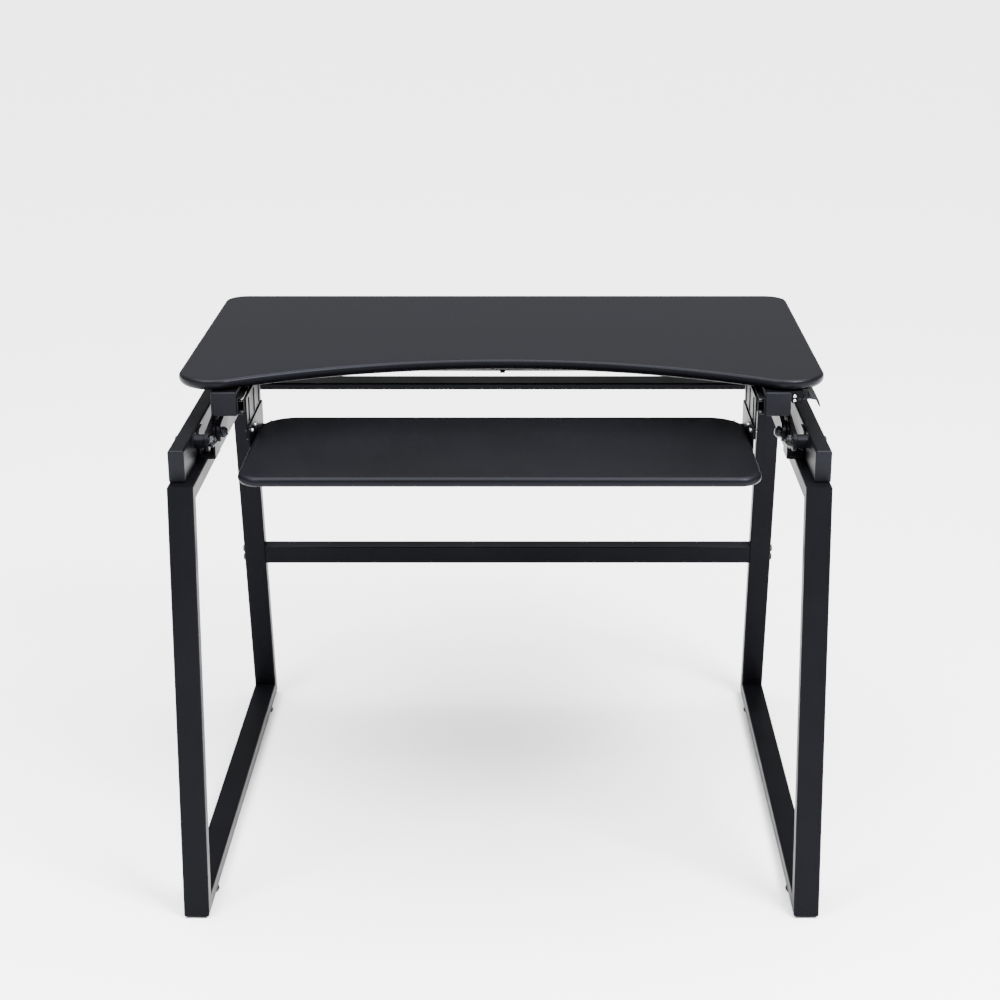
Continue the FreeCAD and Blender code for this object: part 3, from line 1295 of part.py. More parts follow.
def make_paddle():
    """Pressed paddle: a shallow shelf from its knuckles out to a turned-down lip."""
    start = desk_front + D["paddle_back"]
    middle = start + D["paddle_long"] / 2
    sheet_thick = D["paddle_sheet"]
    shelf = hinge_z - D["knuckle_wide"] / 2
    reach = hinge_x + 34
    corners = [(hinge_x - 1, shelf), (hinge_x + 18, shelf + 2), (reach - 6, shelf), (reach - 2, shelf - 10),
               (reach, shelf - 10), (reach, shelf - 8), (reach - 3, shelf + 1.5),
               (hinge_x + 19, shelf + 2 + sheet_thick), (hinge_x - 1, shelf + sheet_thick)]
    body = plate("release_paddle", "Y", corners, D["paddle_long"])
    limit = (hinge_x + 5).value
    tip = (shelf - 5).value
    round_edges(body, 3, lambda edge: along("Y")(edge) and edge.CenterOfMass.x > limit
                and edge.CenterOfMass.z > tip)
    gap = 12
    knuckle = (D["lever_mount_long"] - 4 - 2 * D["side_gap"] - gap) / 2
    centre = lever_mount_front + D["lever_mount_long"] / 2
    for way in (-1, 1):
        disc_at = centre + way * (gap / 2 + knuckle / 2)
        disc = new_sketch(body, "Y", disc_at - middle)
        draw_circle(disc, hinge_x, hinge_z, D["knuckle_wide"])
        pad(body, disc, knuckle)
    hole_width = D["hinge_pin"] + 2 * D["running_gap"]
    drill(body, "Y", [(hinge_x, hinge_z, hole_width)], 0, 3 * D["paddle_long"])
    # Clear the return spring, and the bracket's rear end, which the shelf passes outside.
    relief = new_sketch(body, "Z", shelf)
    half_gap = gap / 2 - 0.5
    spring_mid = centre - middle
    draw_outline(relief, rect(hinge_x - 6, hinge_x + 5, spring_mid - half_gap, spring_mid + half_gap))
    bracket_end = lever_mount_rear - middle - D["lever_sheet"] - 1
    draw_outline(relief, rect(hinge_x - 6, lever_mount_in + 20, bracket_end, D["paddle_long"]))
    pocket(body, relief, 8)
    return place(body, y=middle)


def make_lever_spring():
    coil = doc.addObject("Part::Helix", "lever_spring_line")
    coil.Pitch = 1.5
    coil.Height = 9
    coil.Radius = 3.1
    wire = doc.addObject("Part::Circle", "lever_spring_wire")
    wire.Radius = 0.45
    wire.Placement = Placement(Vector(coil.Radius, 0, 0), Rotation(Vector(1, 0, 0), 90))
    swept = doc.addObject("Part::Sweep", "lever_return_spring")
    swept.Sections = [wire]
    swept.Spine = coil
    swept.Solid = True
    swept.Frenet = True
    centre = lever_mount_front + D["lever_mount_long"] / 2
    return place(swept, hinge_x, centre - 4.5, hinge_z, turn=TURNS["Y"])


# ---------------------------------------------------------------- release cables

def cable_starts():
    """X of each cable where it leaves the lever bracket."""
    left = lever_mount_in + 5
    return {"left": left, "right": left + D["cable_apart"]}


def cable_route(name, side):
    row = cable_rows[name]
    start = (cable_starts()[name].value, lever_mount_rear.value)
    wall_y = row.value - 53
    end_x = side * spring_x.value
    stop = (spring_y - 23).value
    return [start, (start[0], wall_y), (channel_out.value - 20, row.value), (end_x + 25, row.value),
            (end_x, row.value + 10), (end_x, stop)]


def bent_tube(label, route, z, width):
    """Tube along straight runs joined by tangent arcs, level at z."""
    points = [Vector(x, y, z) for x, y in route]
    edges, radii = [], []
    start = points[0]
    for before, corner, after in zip(points, points[1:], points[2:]):
        into, away = corner - before, after - corner
        shorter = min(into.Length, away.Length)
        turn = into.getAngle(away)
        setback = 0.45 * shorter
        radius = setback / math.tan(turn / 2)
        radii.append(round(radius, 1))
        into.normalize()
        away.normalize()
        first, last = corner - into * setback, corner + away * setback
        bisector = (away - into).normalize()
        centre = corner + bisector * (radius / math.cos(turn / 2))
        middle = centre + (corner - centre).normalize() * radius
        edges.append(Part.LineSegment(start, first).toShape())
        edges.append(Part.Arc(first, middle, last).toShape())
        start = last
    edges.append(Part.LineSegment(start, points[-1]).toShape())
    spine = Part.Wire(edges)
    heading = points[1] - points[0]
    section = Part.Wire([Part.Circle(points[0], heading, width / 2).toShape()])
    print(label, "bend radii", radii)
    tube = doc.addObject("Part::Feature", label)
    tube.Shape = spine.makePipeShell([section], True, False)
    expected = math.pi * width ** 2 / 4 * spine.Length
    if abs(tube.Shape.Volume / expected - 1) > 0.01:
        raise ValueError(f"{label} has the wrong volume")
    return tube


def make_cables(clips):
    """Both cables, and with the stops given the clips that hold them."""
    tubes = []
    for name, side in SIDES:
        width = D["cable_wide"].value
        tubes.append(bent_tube(f"cable_{name}", cable_route(name, side), cable_z.value, width))
    group("release_cables", tubes)
    y = cable_rows["left"]
    for i, x in enumerate((200, 0, -200)):
        body = block(f"clip_body{i}", (x - 4, x + 4), (y - 5, y + 5), (cable_z - 4, desk_low))
        hole = round_bar(f"clip_hole{i}", "X", (y, cable_z), x - 6, x + 6,
                         D["cable_wide"] + 2 * D["seat_gap"])
        clips.append(cut(f"cable_clip{i}", body, hole))
    group("cable_clips", clips)


# ---------------------------------------------------------------- the whole desk

for side_name, side_sign in SIDES:
    make_side_frame(side_name, side_sign)
    make_base_rail(side_name, side_sign)
    make_arm_bracket(side_name, side_sign)
    make_channel(side_name, side_sign)
    make_hanger(side_name, side_sign)
    make_slide(side_name, side_sign)
    make_gas_spring(side_name, side_sign)
make_glides()
make_crossbar()
make_base_caps()
make_base_tie()
make_base_bolts()
make_bracket_screws()
make_lower_pivots()
make_arms()
make_torsion_shaft()
make_channel_caps()
make_upper_beams()
make_upper_pivots()
make_desktop()
make_desk_screws()
make_tray()
make_hanger_screws()
make_tray_screws()
make_slide_screws()
cable_stops = make_spring_mounts()
make_lever_bracket()
make_paddle()
make_lever_spring()
make_cables(cable_stops)
doc.recompute()

PAIRED = {
    "rear_arm_brackets": "arm_bracket_{}", "tray_brackets": "tray_bracket_{}",
    "slide_hangers": "slide_hanger_{}", "slide_outers": "slide_outer_{}",
    "slide_inners": "slide_inner_{}", "ball_cages": "ball_cage_{}",
}
for pair_name, pattern in PAIRED.items():
    group(pair_name, [doc.getObject(pattern.format(side_name)) for side_name, _ in SIDES])
group("gas_cylinders", [doc.getObject(f"gas_{kind}_{side_name}") for kind in ("cylinder", "gland")
                        for side_name, _ in SIDES])
group("gas_rods", [doc.getObject(f"{kind}_{side_name}") for kind in ("gas_rod", "rod_eye")
                   for side_name, _ in SIDES])
doc.recompute()

NODES = [
    "foot_glides", "rear_crossbar", "crossbar_bolts", "base_end_caps", "base_cross_tube", "base_bolts",
    "rear_arm_brackets", "bracket_screws", "pivot_bosses", "front_pivot_bolts", "rear_pivot_studs",
    "lower_pivot_nuts", "front_arm_bushes", "rear_arm_bushes", "torsion_shaft", "spring_levers",
    "spring_lever_pins", "channel_end_caps", "upper_cross_tubes", "upper_pivot_studs", "shaft_bearings",
    "desktop", "desktop_screws", "keyboard_tray", "tray_brackets", "tray_screws", "slide_hangers",
    "hanger_screws", "slide_outers", "slide_inners", "slide_screws", "ball_cages", "spring_mounts",
    "spring_mount_pins", "gas_cylinders", "gas_rods", "lever_bracket", "lever_screws", "lever_pin",
    "release_paddle", "lever_return_spring", "release_cables", "cable_clips",
]
SPLIT = ["front_leg", "rear_leg", "foot_rail", "head_rail", "base_rail", "front_arm", "rear_arm",
         "upper_channel"]
NODES += [f"{part}_{side_name}" for part in SPLIT for side_name, _ in SIDES]

failed = [item.Name for item in doc.Objects if {"Invalid", "Error"} & set(item.State)]
if failed:
    raise RuntimeError(f"these did not compute: {failed}")
os.makedirs("parts", exist_ok=True)
for node in NODES:
    shape = doc.getObject(node).Shape
    if shape.isNull() or not shape.isValid() or not shape.Solids:
        raise RuntimeError(f"{node} has no valid solid")
for node in NODES:
    doc.getObject(node).Shape.exportStep(f"parts/{node}.step")
print(len(NODES), "sub-parts")
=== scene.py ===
"""Sit-stand computer desk with a sliding keyboard tray: the looks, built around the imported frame."""

import json
import math

import bmesh
import bpy
from bpy.props import FloatProperty, FloatVectorProperty, IntProperty, PointerProperty
from mathutils import Matrix, Vector


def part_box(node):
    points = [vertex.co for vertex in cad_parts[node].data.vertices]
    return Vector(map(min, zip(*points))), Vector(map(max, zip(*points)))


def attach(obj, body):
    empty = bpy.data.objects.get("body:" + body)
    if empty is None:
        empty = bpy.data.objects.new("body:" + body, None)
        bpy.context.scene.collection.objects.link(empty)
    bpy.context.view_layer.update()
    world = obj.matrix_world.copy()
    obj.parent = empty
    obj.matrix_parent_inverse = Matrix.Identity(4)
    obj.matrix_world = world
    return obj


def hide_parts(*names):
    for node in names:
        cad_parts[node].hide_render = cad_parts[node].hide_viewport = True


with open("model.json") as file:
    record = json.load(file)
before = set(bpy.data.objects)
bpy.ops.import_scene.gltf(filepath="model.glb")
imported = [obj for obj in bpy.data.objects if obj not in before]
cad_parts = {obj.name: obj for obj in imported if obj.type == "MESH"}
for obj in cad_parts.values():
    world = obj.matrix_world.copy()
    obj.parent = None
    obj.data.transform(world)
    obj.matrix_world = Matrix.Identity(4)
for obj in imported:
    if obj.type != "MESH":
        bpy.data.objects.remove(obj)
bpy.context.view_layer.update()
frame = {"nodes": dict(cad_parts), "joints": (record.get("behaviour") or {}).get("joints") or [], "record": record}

bl_info = {
    "name": "Sit-Stand Computer Desk",
    "version": (1, 0, 0),
    "blender": (4, 5, 0),
    "location": "View3D > Sidebar > Desk",
    "description": "Black sit-stand desk on a welded tube stand, with a sliding keyboard tray",
    "category": "Object",
}

MM = 0.001
SLOT_OF = {row["node"]: row["material_slot"] for row in frame["record"]["subparts"]}
BODY_OF = {node: body for body, nodes in frame["record"]["behaviour"]["bodies"].items() for node in nodes}


# ---------------------------------------------------------------- colours and nodes

def linear(code):
    """Linear red, green and blue of an sRGB hex colour."""
    parts = [int(code[i:i + 2], 16) / 255 for i in (1, 3, 5)]
    return [p / 12.92 if p <= 0.04045 else ((p + 0.055) / 1.055) ** 2.4 for p in parts]


def add_node(tree, kind, settings=(), inputs=()):
    """Add a node. An input is given a value, or the socket that feeds it."""
    node = tree.nodes.new(kind)
    for name, value in dict(settings).items():
        setattr(node, name, value)
    for name, value in dict(inputs).items():
        if isinstance(value, bpy.types.NodeSocket):
            tree.links.new(value, node.inputs[name])
        else:
            node.inputs[name].default_value = value
    return node


def grain(tree, place, spacing, detail=2.0):
    """Noise whose lumps are about spacing apart, in metres."""
    settings = {"noise_dimensions": "3D"}
    inputs = {"Vector": place, "Scale": 1 / spacing, "Detail": detail}
    return add_node(tree, "ShaderNodeTexNoise", settings, inputs).outputs["Fac"]


def between(tree, factor, low, high):
    """Number that runs from low to high with a noise."""
    inputs = {"Value": factor, "From Min": 0.3, "From Max": 0.7, "To Min": low, "To Max": high}
    return add_node(tree, "ShaderNodeMapRange", {}, inputs).outputs["Result"]


def surface(name, colours, gloss, bump, drift, others=()):
    """Material of two close colours and two roughnesses, with raised grain.

    bump is (spacing, height), and drift is how far apart the slow changes are, in millimetres.
    others are the shader's other values.
    """
    material = bpy.data.materials.new(name)
    material.use_nodes = True
    tree = material.node_tree
    tree.nodes.clear()
    place = add_node(tree, "ShaderNodeTexCoord").outputs["Object"]
    slow = grain(tree, place, drift * MM, 3.0)
    tint = add_node(tree, "ShaderNodeValToRGB", {}, {"Fac": slow})
    for stop, colour, at in zip(tint.color_ramp.elements, colours, (0.35, 0.65)):
        stop.position = at
        stop.color = linear(colour) + [1.0]
    fine = grain(tree, place, bump[0] * MM)
    relief = add_node(tree, "ShaderNodeBump", {}, {"Height": fine, "Distance": bump[1] * MM, "Strength": 0.6})
    inputs = {"Base Color": tint.outputs["Color"], "Roughness": between(tree, slow, *gloss),
              "Normal": relief.outputs["Normal"]}
    inputs.update(others)
    shader = add_node(tree, "ShaderNodeBsdfPrincipled", {}, inputs)
    add_node(tree, "ShaderNodeOutputMaterial", {}, {"Surface": shader.outputs["BSDF"]})
    return material


# The desk's black paint, foil and plastics reflect a little bluer than a neutral black does.
BLUE_SHEEN = (0.82, 0.85, 1.0, 1.0)


def black_sheen(level):
    return {"Specular IOR Level": level, "Specular Tint": BLUE_SHEEN}


# Each slot's material, as surface() takes it.
SURFACES = {
    # Electrostatic powder baked on steel: a satin black skin with faint orange peel about 1.5 mm across.
    "black_powder_coat": ("polyester_powder_coat", ("#040405", "#060608"), (0.34, 0.44), (1.5, 0.05), 120,
                          black_sheen(0.055)),
    # PVC foil pressed over fibreboard: an even charcoal black with a soft pebble that blurs reflections.
    "black_laminate": ("laminate_foil", ("#060608", "#08080b"), (0.34, 0.4), (0.9, 0.025), 250,
                       black_sheen(0.08)),
    # Injection-moulded caps: matter than the paint, with a spark-eroded grain drawn 0.8 mm wide to show.
    "black_plastic": ("moulded_polypropylene", ("#070709", "#0a0a0d"), (0.5, 0.58), (0.8, 0.04), 30,
                      black_sheen(0.12)),
    # Injection-moulded lever: smoother and glossier than the caps, so that the grip catches a line of light.
    "black_plastic_paddle": ("moulded_abs", ("#08080b", "#0b0b0e"), (0.28, 0.36), (0.8, 0.012), 30,
                             black_sheen(0.25)),
    # Turned bushes: milky off-white that lets light in a little way.
    "nylon": ("natural_nylon", ("#d9d6cb", "#e2dfd5"), (0.38, 0.46), (0.6, 0.01), 10,
              {"Subsurface Weight": 0.2, "Subsurface Scale": 2 * MM}),
    # Moulded rubber: the dullest black on the desk, with a dusty bloom.
    "glide_rubber": ("glide_rubber", ("#0b0b0b", "#131312"), (0.72, 0.86), (0.7, 0.04), 20),
    # Electroplated zinc on small steel parts: light grey metal, slightly mottled, with soft highlights.
    "bright_zinc": ("bright_zinc_plate", ("#b4b7bb", "#c9ccd0"), (0.22, 0.36), (0.5, 0.01), 4,
                    {"Metallic": 1.0}),
    # Zinc plate with a black chromate: dark metal that still glints on its rims.
    "black_zinc": ("black_zinc_plate", ("#17181a", "#222326"), (0.3, 0.42), (0.5, 0.012), 6,
                   {"Metallic": 0.85}),
    # Ground and chromed rods: a mirror, with grinding lines too fine to show.
    "hard_chrome": ("hard_chrome_plate", ("#d3d5d8", "#dfe1e3"), (0.06, 0.11), (0.4, 0.002), 20,
                    {"Metallic": 1.0}),
    # Extruded cable sheath: smooth black with a satin sheen.
    "cable_sheath": ("extruded_pvc", ("#151517", "#1a1a1d"), (0.36, 0.44), (1.2, 0.01), 20),
}
FINISHES = {}


def finish_of(slot):
    """The material of one of the record's slots, made when it is first asked for."""
    if slot not in FINISHES:
        FINISHES[slot] = surface(*SURFACES[slot])
    return FINISHES[slot]


# ---------------------------------------------------------------- meshes

def new_object(name, mesh):
    thing = bpy.data.objects.new(name, mesh)
    bpy.context.scene.collection.objects.link(thing)
    return thing


def piece_from(name, shape, node, also=(), smooth=40.0):
    """Turn a bmesh into a finished piece that stands for a CAD node and rides on its body."""
    bmesh.ops.remove_doubles(shape, verts=shape.verts, dist=1e-6)
    bmesh.ops.recalc_face_normals(shape, faces=shape.faces)
    mesh = bpy.data.meshes.new(name)
    shape.to_mesh(mesh)
    shape.free()
    piece = new_object(name, mesh)
    mesh.materials.append(finish_of(SLOT_OF[node]))
    mesh.set_sharp_from_angle(angle=math.radians(smooth))
    adopt(piece, node, *also)
    return piece


def adopt(piece, node, *also):
    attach(piece, BODY_OF[node])
    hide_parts(node, *also)


def solids_of(node):
    """Each separate solid of a CAD node, as a list of its points."""
    shape = bmesh.new()
    shape.from_mesh(frame["nodes"][node].data)
    bmesh.ops.remove_doubles(shape, verts=shape.verts, dist=1e-5)
    left = set(shape.verts)
    solids = []
    while left:
        heap, found = [left.pop()], []
        while heap:
            point = heap.pop()
            found.append(point.co.copy())
            for edge in point.link_edges:
                other = edge.other_vert(point)
                if other in left:
                    left.remove(other)
                    heap.append(other)
        solids.append(found)
    shape.free()
    solids.sort(key=lambda points: tuple(round(value, 4) for value in limits(points)[0]))
    return solids


def limits(points):
    """Lowest and highest corner of some points."""
    low = Vector([min(p[i] for p in points) for i in range(3)])
    high = Vector([max(p[i] for p in points) for i in range(3)])
    return low, high


def middle_of(points):
    low, high = limits(points)
    return (low + high) / 2


def skin(shape, rings, close=True):
    """Join rings of the same count with quads, and close the two ends."""
    loops = [[shape.verts.new(point) for point in ring] for ring in rings]
    count = len(loops[0])
    for near, far in zip(loops, loops[1:]):
        for i in range(count):
            j = (i + 1) % count
            shape.faces.new((near[i], near[j], far[j], far[i]))
    if close:
        shape.faces.new(loops[0])
        shape.faces.new(loops[-1])


def lathe(shape, profile, centre=(0, 0, 0), turn=None, count=48):
    """Turn a profile of (radius, height) pairs about its own axis. turn takes Z onto the axis wanted.

    A radius may be a function of the angle in degrees.
    """
    turn = turn or Matrix.Identity(3)
    rings = []
    for radius, height in profile:
        ring = []
        for i in range(count):
            angle = math.tau * i / count
            reach = radius(math.degrees(angle)) if callable(radius) else radius
            spot = Vector((reach * math.cos(angle), reach * math.sin(angle), height))
            ring.append(Vector(centre) + turn @ spot)
        rings.append(ring)
    skin(shape, rings)


def arc_points(centre, radius, start, stop, step=6 * MM):
    """Points of an arc with the direction out of the board at each, angles in degrees."""
    sweep = abs(stop - start)
    count = max(4, math.ceil(sweep / 4), math.ceil(radius * math.radians(sweep) / step))
    out = 1 if stop > start else -1
    points = []
    for i in range(count + 1):
        angle = math.radians(start + (stop - start) * i / count)
        way = Vector((math.cos(angle), math.sin(angle)))
        points.append((Vector(centre) + way * radius, way * out))
    return points


def rounded_plan(low, high, front_round, rear_round):
    """Plan outline of a board with two front and two rear corner radii."""
    f, r = front_round, rear_round
    corners = ((high.x - f, low.y + f, f), (high.x - r, high.y - r, r),
               (low.x + r, high.y - r, r), (low.x + f, low.y + f, f))
    plan = []
    for turn, (x, y, radius) in enumerate(corners):
        plan += arc_points((x, y), radius, 90 * turn - 90, 90 * turn)
    return plan


def drawn_in(low, high, inset, bend):
    """Points of a rectangle drawn in by inset, with its corners rounded to bend."""
    low = Vector((low[0] + inset, low[1] + inset))
    high = Vector((high[0] - inset, high[1] - inset))
    return [spot for spot, _ in rounded_plan(low, high, bend, bend)]


def scooped_plan(low, high, settings):
    """Plan outline of the desktop: a rounded board with a concave arc in its front edge."""
    chord = high.x - settings.lobe_flat
    scoop = (chord ** 2 + settings.scoop ** 2) / (2 * settings.scoop)
    centre_y = low.y + settings.scoop - scoop
    blend = settings.lobe_blend
    blend_y = low.y + blend
    blend_x = math.sqrt((scoop + blend) ** 2 - (blend_y - centre_y) ** 2)
    lean = math.degrees(math.atan2(blend_y - centre_y, blend_x))
    plan = arc_points((-blend_x, blend_y), blend, -90, -lean)
    plan += arc_points((0, centre_y), scoop, 180 - lean, lean)
    plan += arc_points((blend_x, blend_y), blend, lean - 180, -90)
    return plan + rounded_plan(low, high, settings.front_round, settings.rear_round)


def board(shape, plan, low_z, high_z, top_round, under_round):
    """Board of the plan with a bullnose edge, rounder above or below as given."""
    steps = 8
    rim = [(top_round + 0.6 * MM, high_z)]
    for i in range(steps + 1):
        angle = math.pi / 2 * i / steps
        rim.append((top_round * (1 - math.sin(angle)), high_z - top_round * (1 - math.cos(angle))))
    for i in range(steps + 1):
        angle = math.pi / 2 * i / steps
        rim.append((under_round * (1 - math.cos(angle)), low_z + under_round * (1 - math.sin(angle))))
    rim.append((under_round + 0.6 * MM, low_z))
    rings = []
    for inset, height in rim:
        rings.append([Vector((*(spot - out * inset), height)) for spot, out in plan])
    skin(shape, rings)


# ---------------------------------------------------------------- geometry node trees

def new_tree(name, sockets):
    """Empty geometry tree with the named inputs, each (name, kind, default)."""
    tree = bpy.data.node_groups.new(name, "GeometryNodeTree")
    for label, kind, default in sockets:
        socket = tree.interface.new_socket(label, in_out="INPUT", socket_type=kind)
        if default is not None:
            socket.default_value = default
    tree.interface.new_socket("Geometry", in_out="OUTPUT", socket_type="NodeSocketGeometry")
    return tree, add_node(tree, "NodeGroupInput")


def close_tree(tree, entry, geometry):
    """End a tree in real geometry with its finish."""
    real = add_node(tree, "GeometryNodeRealizeInstances", {}, {"Geometry": geometry})
    coated = add_node(tree, "GeometryNodeSetMaterial", {},
                      {"Geometry": real.outputs["Geometry"], "Material": entry.outputs["Finish"]})
    add_node(tree, "NodeGroupOutput", {}, {"Geometry": coated.outputs["Geometry"]})
    return tree


def named_vector(tree, name):
    """A vector that each point carries under this name."""
    settings = {"data_type": "FLOAT_VECTOR"}
    return add_node(tree, "GeometryNodeInputNamedAttribute", settings, {"Name": name}).outputs[0]


def hardware_tree():
    """Puts a part at every point, along the point's heading, sized by its girth and turned at random."""
    tree, entry = new_tree("hardware_at_points", [
        ("Points", "NodeSocketGeometry", None), ("Part", "NodeSocketObject", None),
        ("Finish", "NodeSocketMaterial", None), ("Twist", "NodeSocketFloat", 0.0),
        ("Seed", "NodeSocketInt", 7)])
    heading = named_vector(tree, "heading")
    girth = named_vector(tree, "girth")
    aim = add_node(tree, "FunctionNodeAlignRotationToVector", {"axis": "Z"}, {"Vector": heading})
    twist = add_node(tree, "FunctionNodeRandomValue", {"data_type": "FLOAT"},
                     {3: entry.outputs["Twist"], "Seed": entry.outputs["Seed"]})
    spin = add_node(tree, "FunctionNodeAxisAngleToRotation", {},
                    {"Axis": (0, 0, 1), "Angle": twist.outputs[1]})
    turned = add_node(tree, "FunctionNodeRotateRotation", {"rotation_space": "LOCAL"},
                      {"Rotation": aim.outputs[0], "Rotate By": spin.outputs[0]})
    part = add_node(tree, "GeometryNodeObjectInfo", {}, {"Object": entry.outputs["Part"]})
    placed = add_node(tree, "GeometryNodeInstanceOnPoints", {}, {
        "Points": entry.outputs["Points"], "Instance": part.outputs["Geometry"],
        "Rotation": turned.outputs[0], "Scale": girth})
    return close_tree(tree, entry, placed.outputs["Instances"])


def coil_tree():
    """Round wire wound into a coil spring about Z."""
    tree, entry = new_tree("coil_of_wire", [
        ("Geometry", "NodeSocketGeometry", None), ("Turns", "NodeSocketFloat", 6.0),
        ("Coil Radius", "NodeSocketFloat", 0.003), ("Wire Radius", "NodeSocketFloat", 0.0005),
        ("Length", "NodeSocketFloat", 0.009), ("Finish", "NodeSocketMaterial", None)])
    line = add_node(tree, "GeometryNodeCurveSpiral", {}, {
        "Resolution": 28, "Rotations": entry.outputs["Turns"], "Start Radius": entry.outputs["Coil Radius"],
        "End Radius": entry.outputs["Coil Radius"], "Height": entry.outputs["Length"]})
    wire = add_node(tree, "GeometryNodeCurvePrimitiveCircle", {"mode": "RADIUS"},
                    {"Resolution": 12, "Radius": entry.outputs["Wire Radius"]})
    swept = add_node(tree, "GeometryNodeCurveToMesh", {}, {
        "Curve": line.outputs["Curve"], "Profile Curve": wire.outputs["Curve"], "Fill Caps": True})
    return close_tree(tree, entry, swept.outputs["Mesh"])


def weld_tree():
    """Weld bead laid round a circle at every point: overlapping ripples, square to the point's heading."""
    tree, entry = new_tree("weld_round_a_tube", [
        ("Points", "NodeSocketGeometry", None), ("Tube Radius", "NodeSocketFloat", 0.011),
        ("Bead Radius", "NodeSocketFloat", 0.0015), ("Ripples", "NodeSocketInt", 40),
        ("Finish", "NodeSocketMaterial", None)])
    ring = add_node(tree, "GeometryNodeCurvePrimitiveCircle", {"mode": "RADIUS"},
                    {"Resolution": entry.outputs["Ripples"], "Radius": entry.outputs["Tube Radius"]})
    ripple = add_node(tree, "GeometryNodeMeshIcoSphere", {},
                      {"Radius": entry.outputs["Bead Radius"], "Subdivisions": 2})
    beads = add_node(tree, "GeometryNodeInstanceOnPoints", {}, {
        "Points": ring.outputs["Curve"], "Instance": ripple.outputs["Mesh"]})
    heading = named_vector(tree, "heading")
    aim = add_node(tree, "FunctionNodeAlignRotationToVector", {"axis": "Z"}, {"Vector": heading})
    seams = add_node(tree, "GeometryNodeInstanceOnPoints", {}, {
        "Points": entry.outputs["Points"], "Instance": beads.outputs["Instances"],
        "Rotation": aim.outputs[0]})
    return close_tree(tree, entry, seams.outputs["Instances"])


def points_mesh(name, spots):
    """Loose points with a heading and a girth. Each spot is (place, heading, girth)."""
    mesh = bpy.data.meshes.new(name)
    mesh.from_pydata([spot[0] for spot in spots], [], [])
    for label, index in (("heading", 1), ("girth", 2)):
        values = mesh.attributes.new(label, "FLOAT_VECTOR", "POINT")
        values.data.foreach_set("vector", [part for spot in spots for part in spot[index]])
    return mesh


def grow(name, tree, mesh, values):
    """Run a geometry tree on a mesh, and return its result as a plain mesh. Its part is used up."""
    seedling = new_object(name + "_seed", mesh)
    modifier = seedling.modifiers.new(name, "NODES")
    modifier.node_group = tree
    for item in tree.interface.items_tree:
        if item.item_type == "SOCKET" and item.in_out == "INPUT" and item.name in values:
            modifier[item.identifier] = values[item.name]
    graph = bpy.context.evaluated_depsgraph_get()
    grown = bpy.data.meshes.new_from_object(seedling.evaluated_get(graph), depsgraph=graph)
    seedling.modifiers.clear()
    for used in (seedling, values.get("Part")):
        if used:
            bpy.data.objects.remove(used)
    return grown


# ---------------------------------------------------------------- hardware shapes, for a radius of 1

def cross_recess(angle, reach=0.56, half_wing=15):
    """Radius of a cross-shaped recess at an angle. half_wing is half of a wing's angle, in degrees."""
    fold = angle % 90
    fold = min(fold, 90 - fold)
    if fold <= half_wing:
        return reach / math.cos(math.radians(fold))
    return reach * math.tan(math.radians(half_wing)) / math.sin(math.radians(fold))


def hex_outline(angle, flat=0.866):
    """Radius of a hexagon at an angle in degrees. flat is from its middle to a side."""
    fold = angle % 60 - 30
    return flat / math.cos(math.radians(fold))


def headed_part(name, profile):
    """Part for a geometry tree, turned about Z."""
    shape = bmesh.new()
    lathe(shape, profile)
    bmesh.ops.recalc_face_normals(shape, faces=shape.faces)
    mesh = bpy.data.meshes.new(name)
    shape.to_mesh(mesh)
    shape.free()
    mesh.set_sharp_from_angle(angle=math.radians(35))
    return new_object(name, mesh)


def thread(shank, top, bottom, pitch, root=0.86):
    """Rings of a threaded shank from top down to bottom, with its root as a share of its radius."""
    levels, height, ridge = [], top, True
    while height > bottom:
        levels.append((shank if ridge else shank * root, height))
        height -= pitch / 2
        ridge = not ridge
    return levels + [(shank * 0.8, bottom), (shank * 0.1, bottom - shank * 0.3)]


def screw_part(name, drive, shank, head, length):
    """Screw with its head's underside at zero and its tip below. Sizes are in head radii."""
    top = head
    if drive == "hex_head":
        levels = [(0.05, top), (0.82, top), (hex_outline, top - 0.07), (hex_outline, 0.0)]
    else:
        recess = cross_recess if drive == "cross" else (lambda angle: hex_outline(angle, 0.4))
        deep = 0.6 * top
        levels = [(0.04, top - deep - 0.04), (lambda a: 0.8 * recess(a), top - deep),
                  (recess, top - 0.02), (lambda a: recess(a) * 1.04, top)]
        # Domed from the recess out to the rim.
        levels += [(0.72, top * 0.96), (0.88, top * 0.8), (0.97, top * 0.5), (1.0, top * 0.22), (1.0, 0.0)]
    return headed_part(name, levels + [(shank, -0.001)] + thread(shank, -0.1, -length, 0.22))


def nut_part(name, thick, bore):
    """Hexagon nut with chamfered corners and a collar, standing on zero."""
    return headed_part(name, [
        (bore, 0.0), (0.82, 0.0), (hex_outline, 0.08), (hex_outline, thick * 0.7), (0.84, thick * 0.76),
        (0.74, thick * 0.78), (0.72, thick * 0.95), (0.66, thick), (bore, thick), (bore, thick * 0.5)])


# ---------------------------------------------------------------- settings

def length(name, about, default, least=0.001):
    """Setting that holds a length in metres."""
    return FloatProperty(name=name, description=about, default=default, min=least, unit="LENGTH")


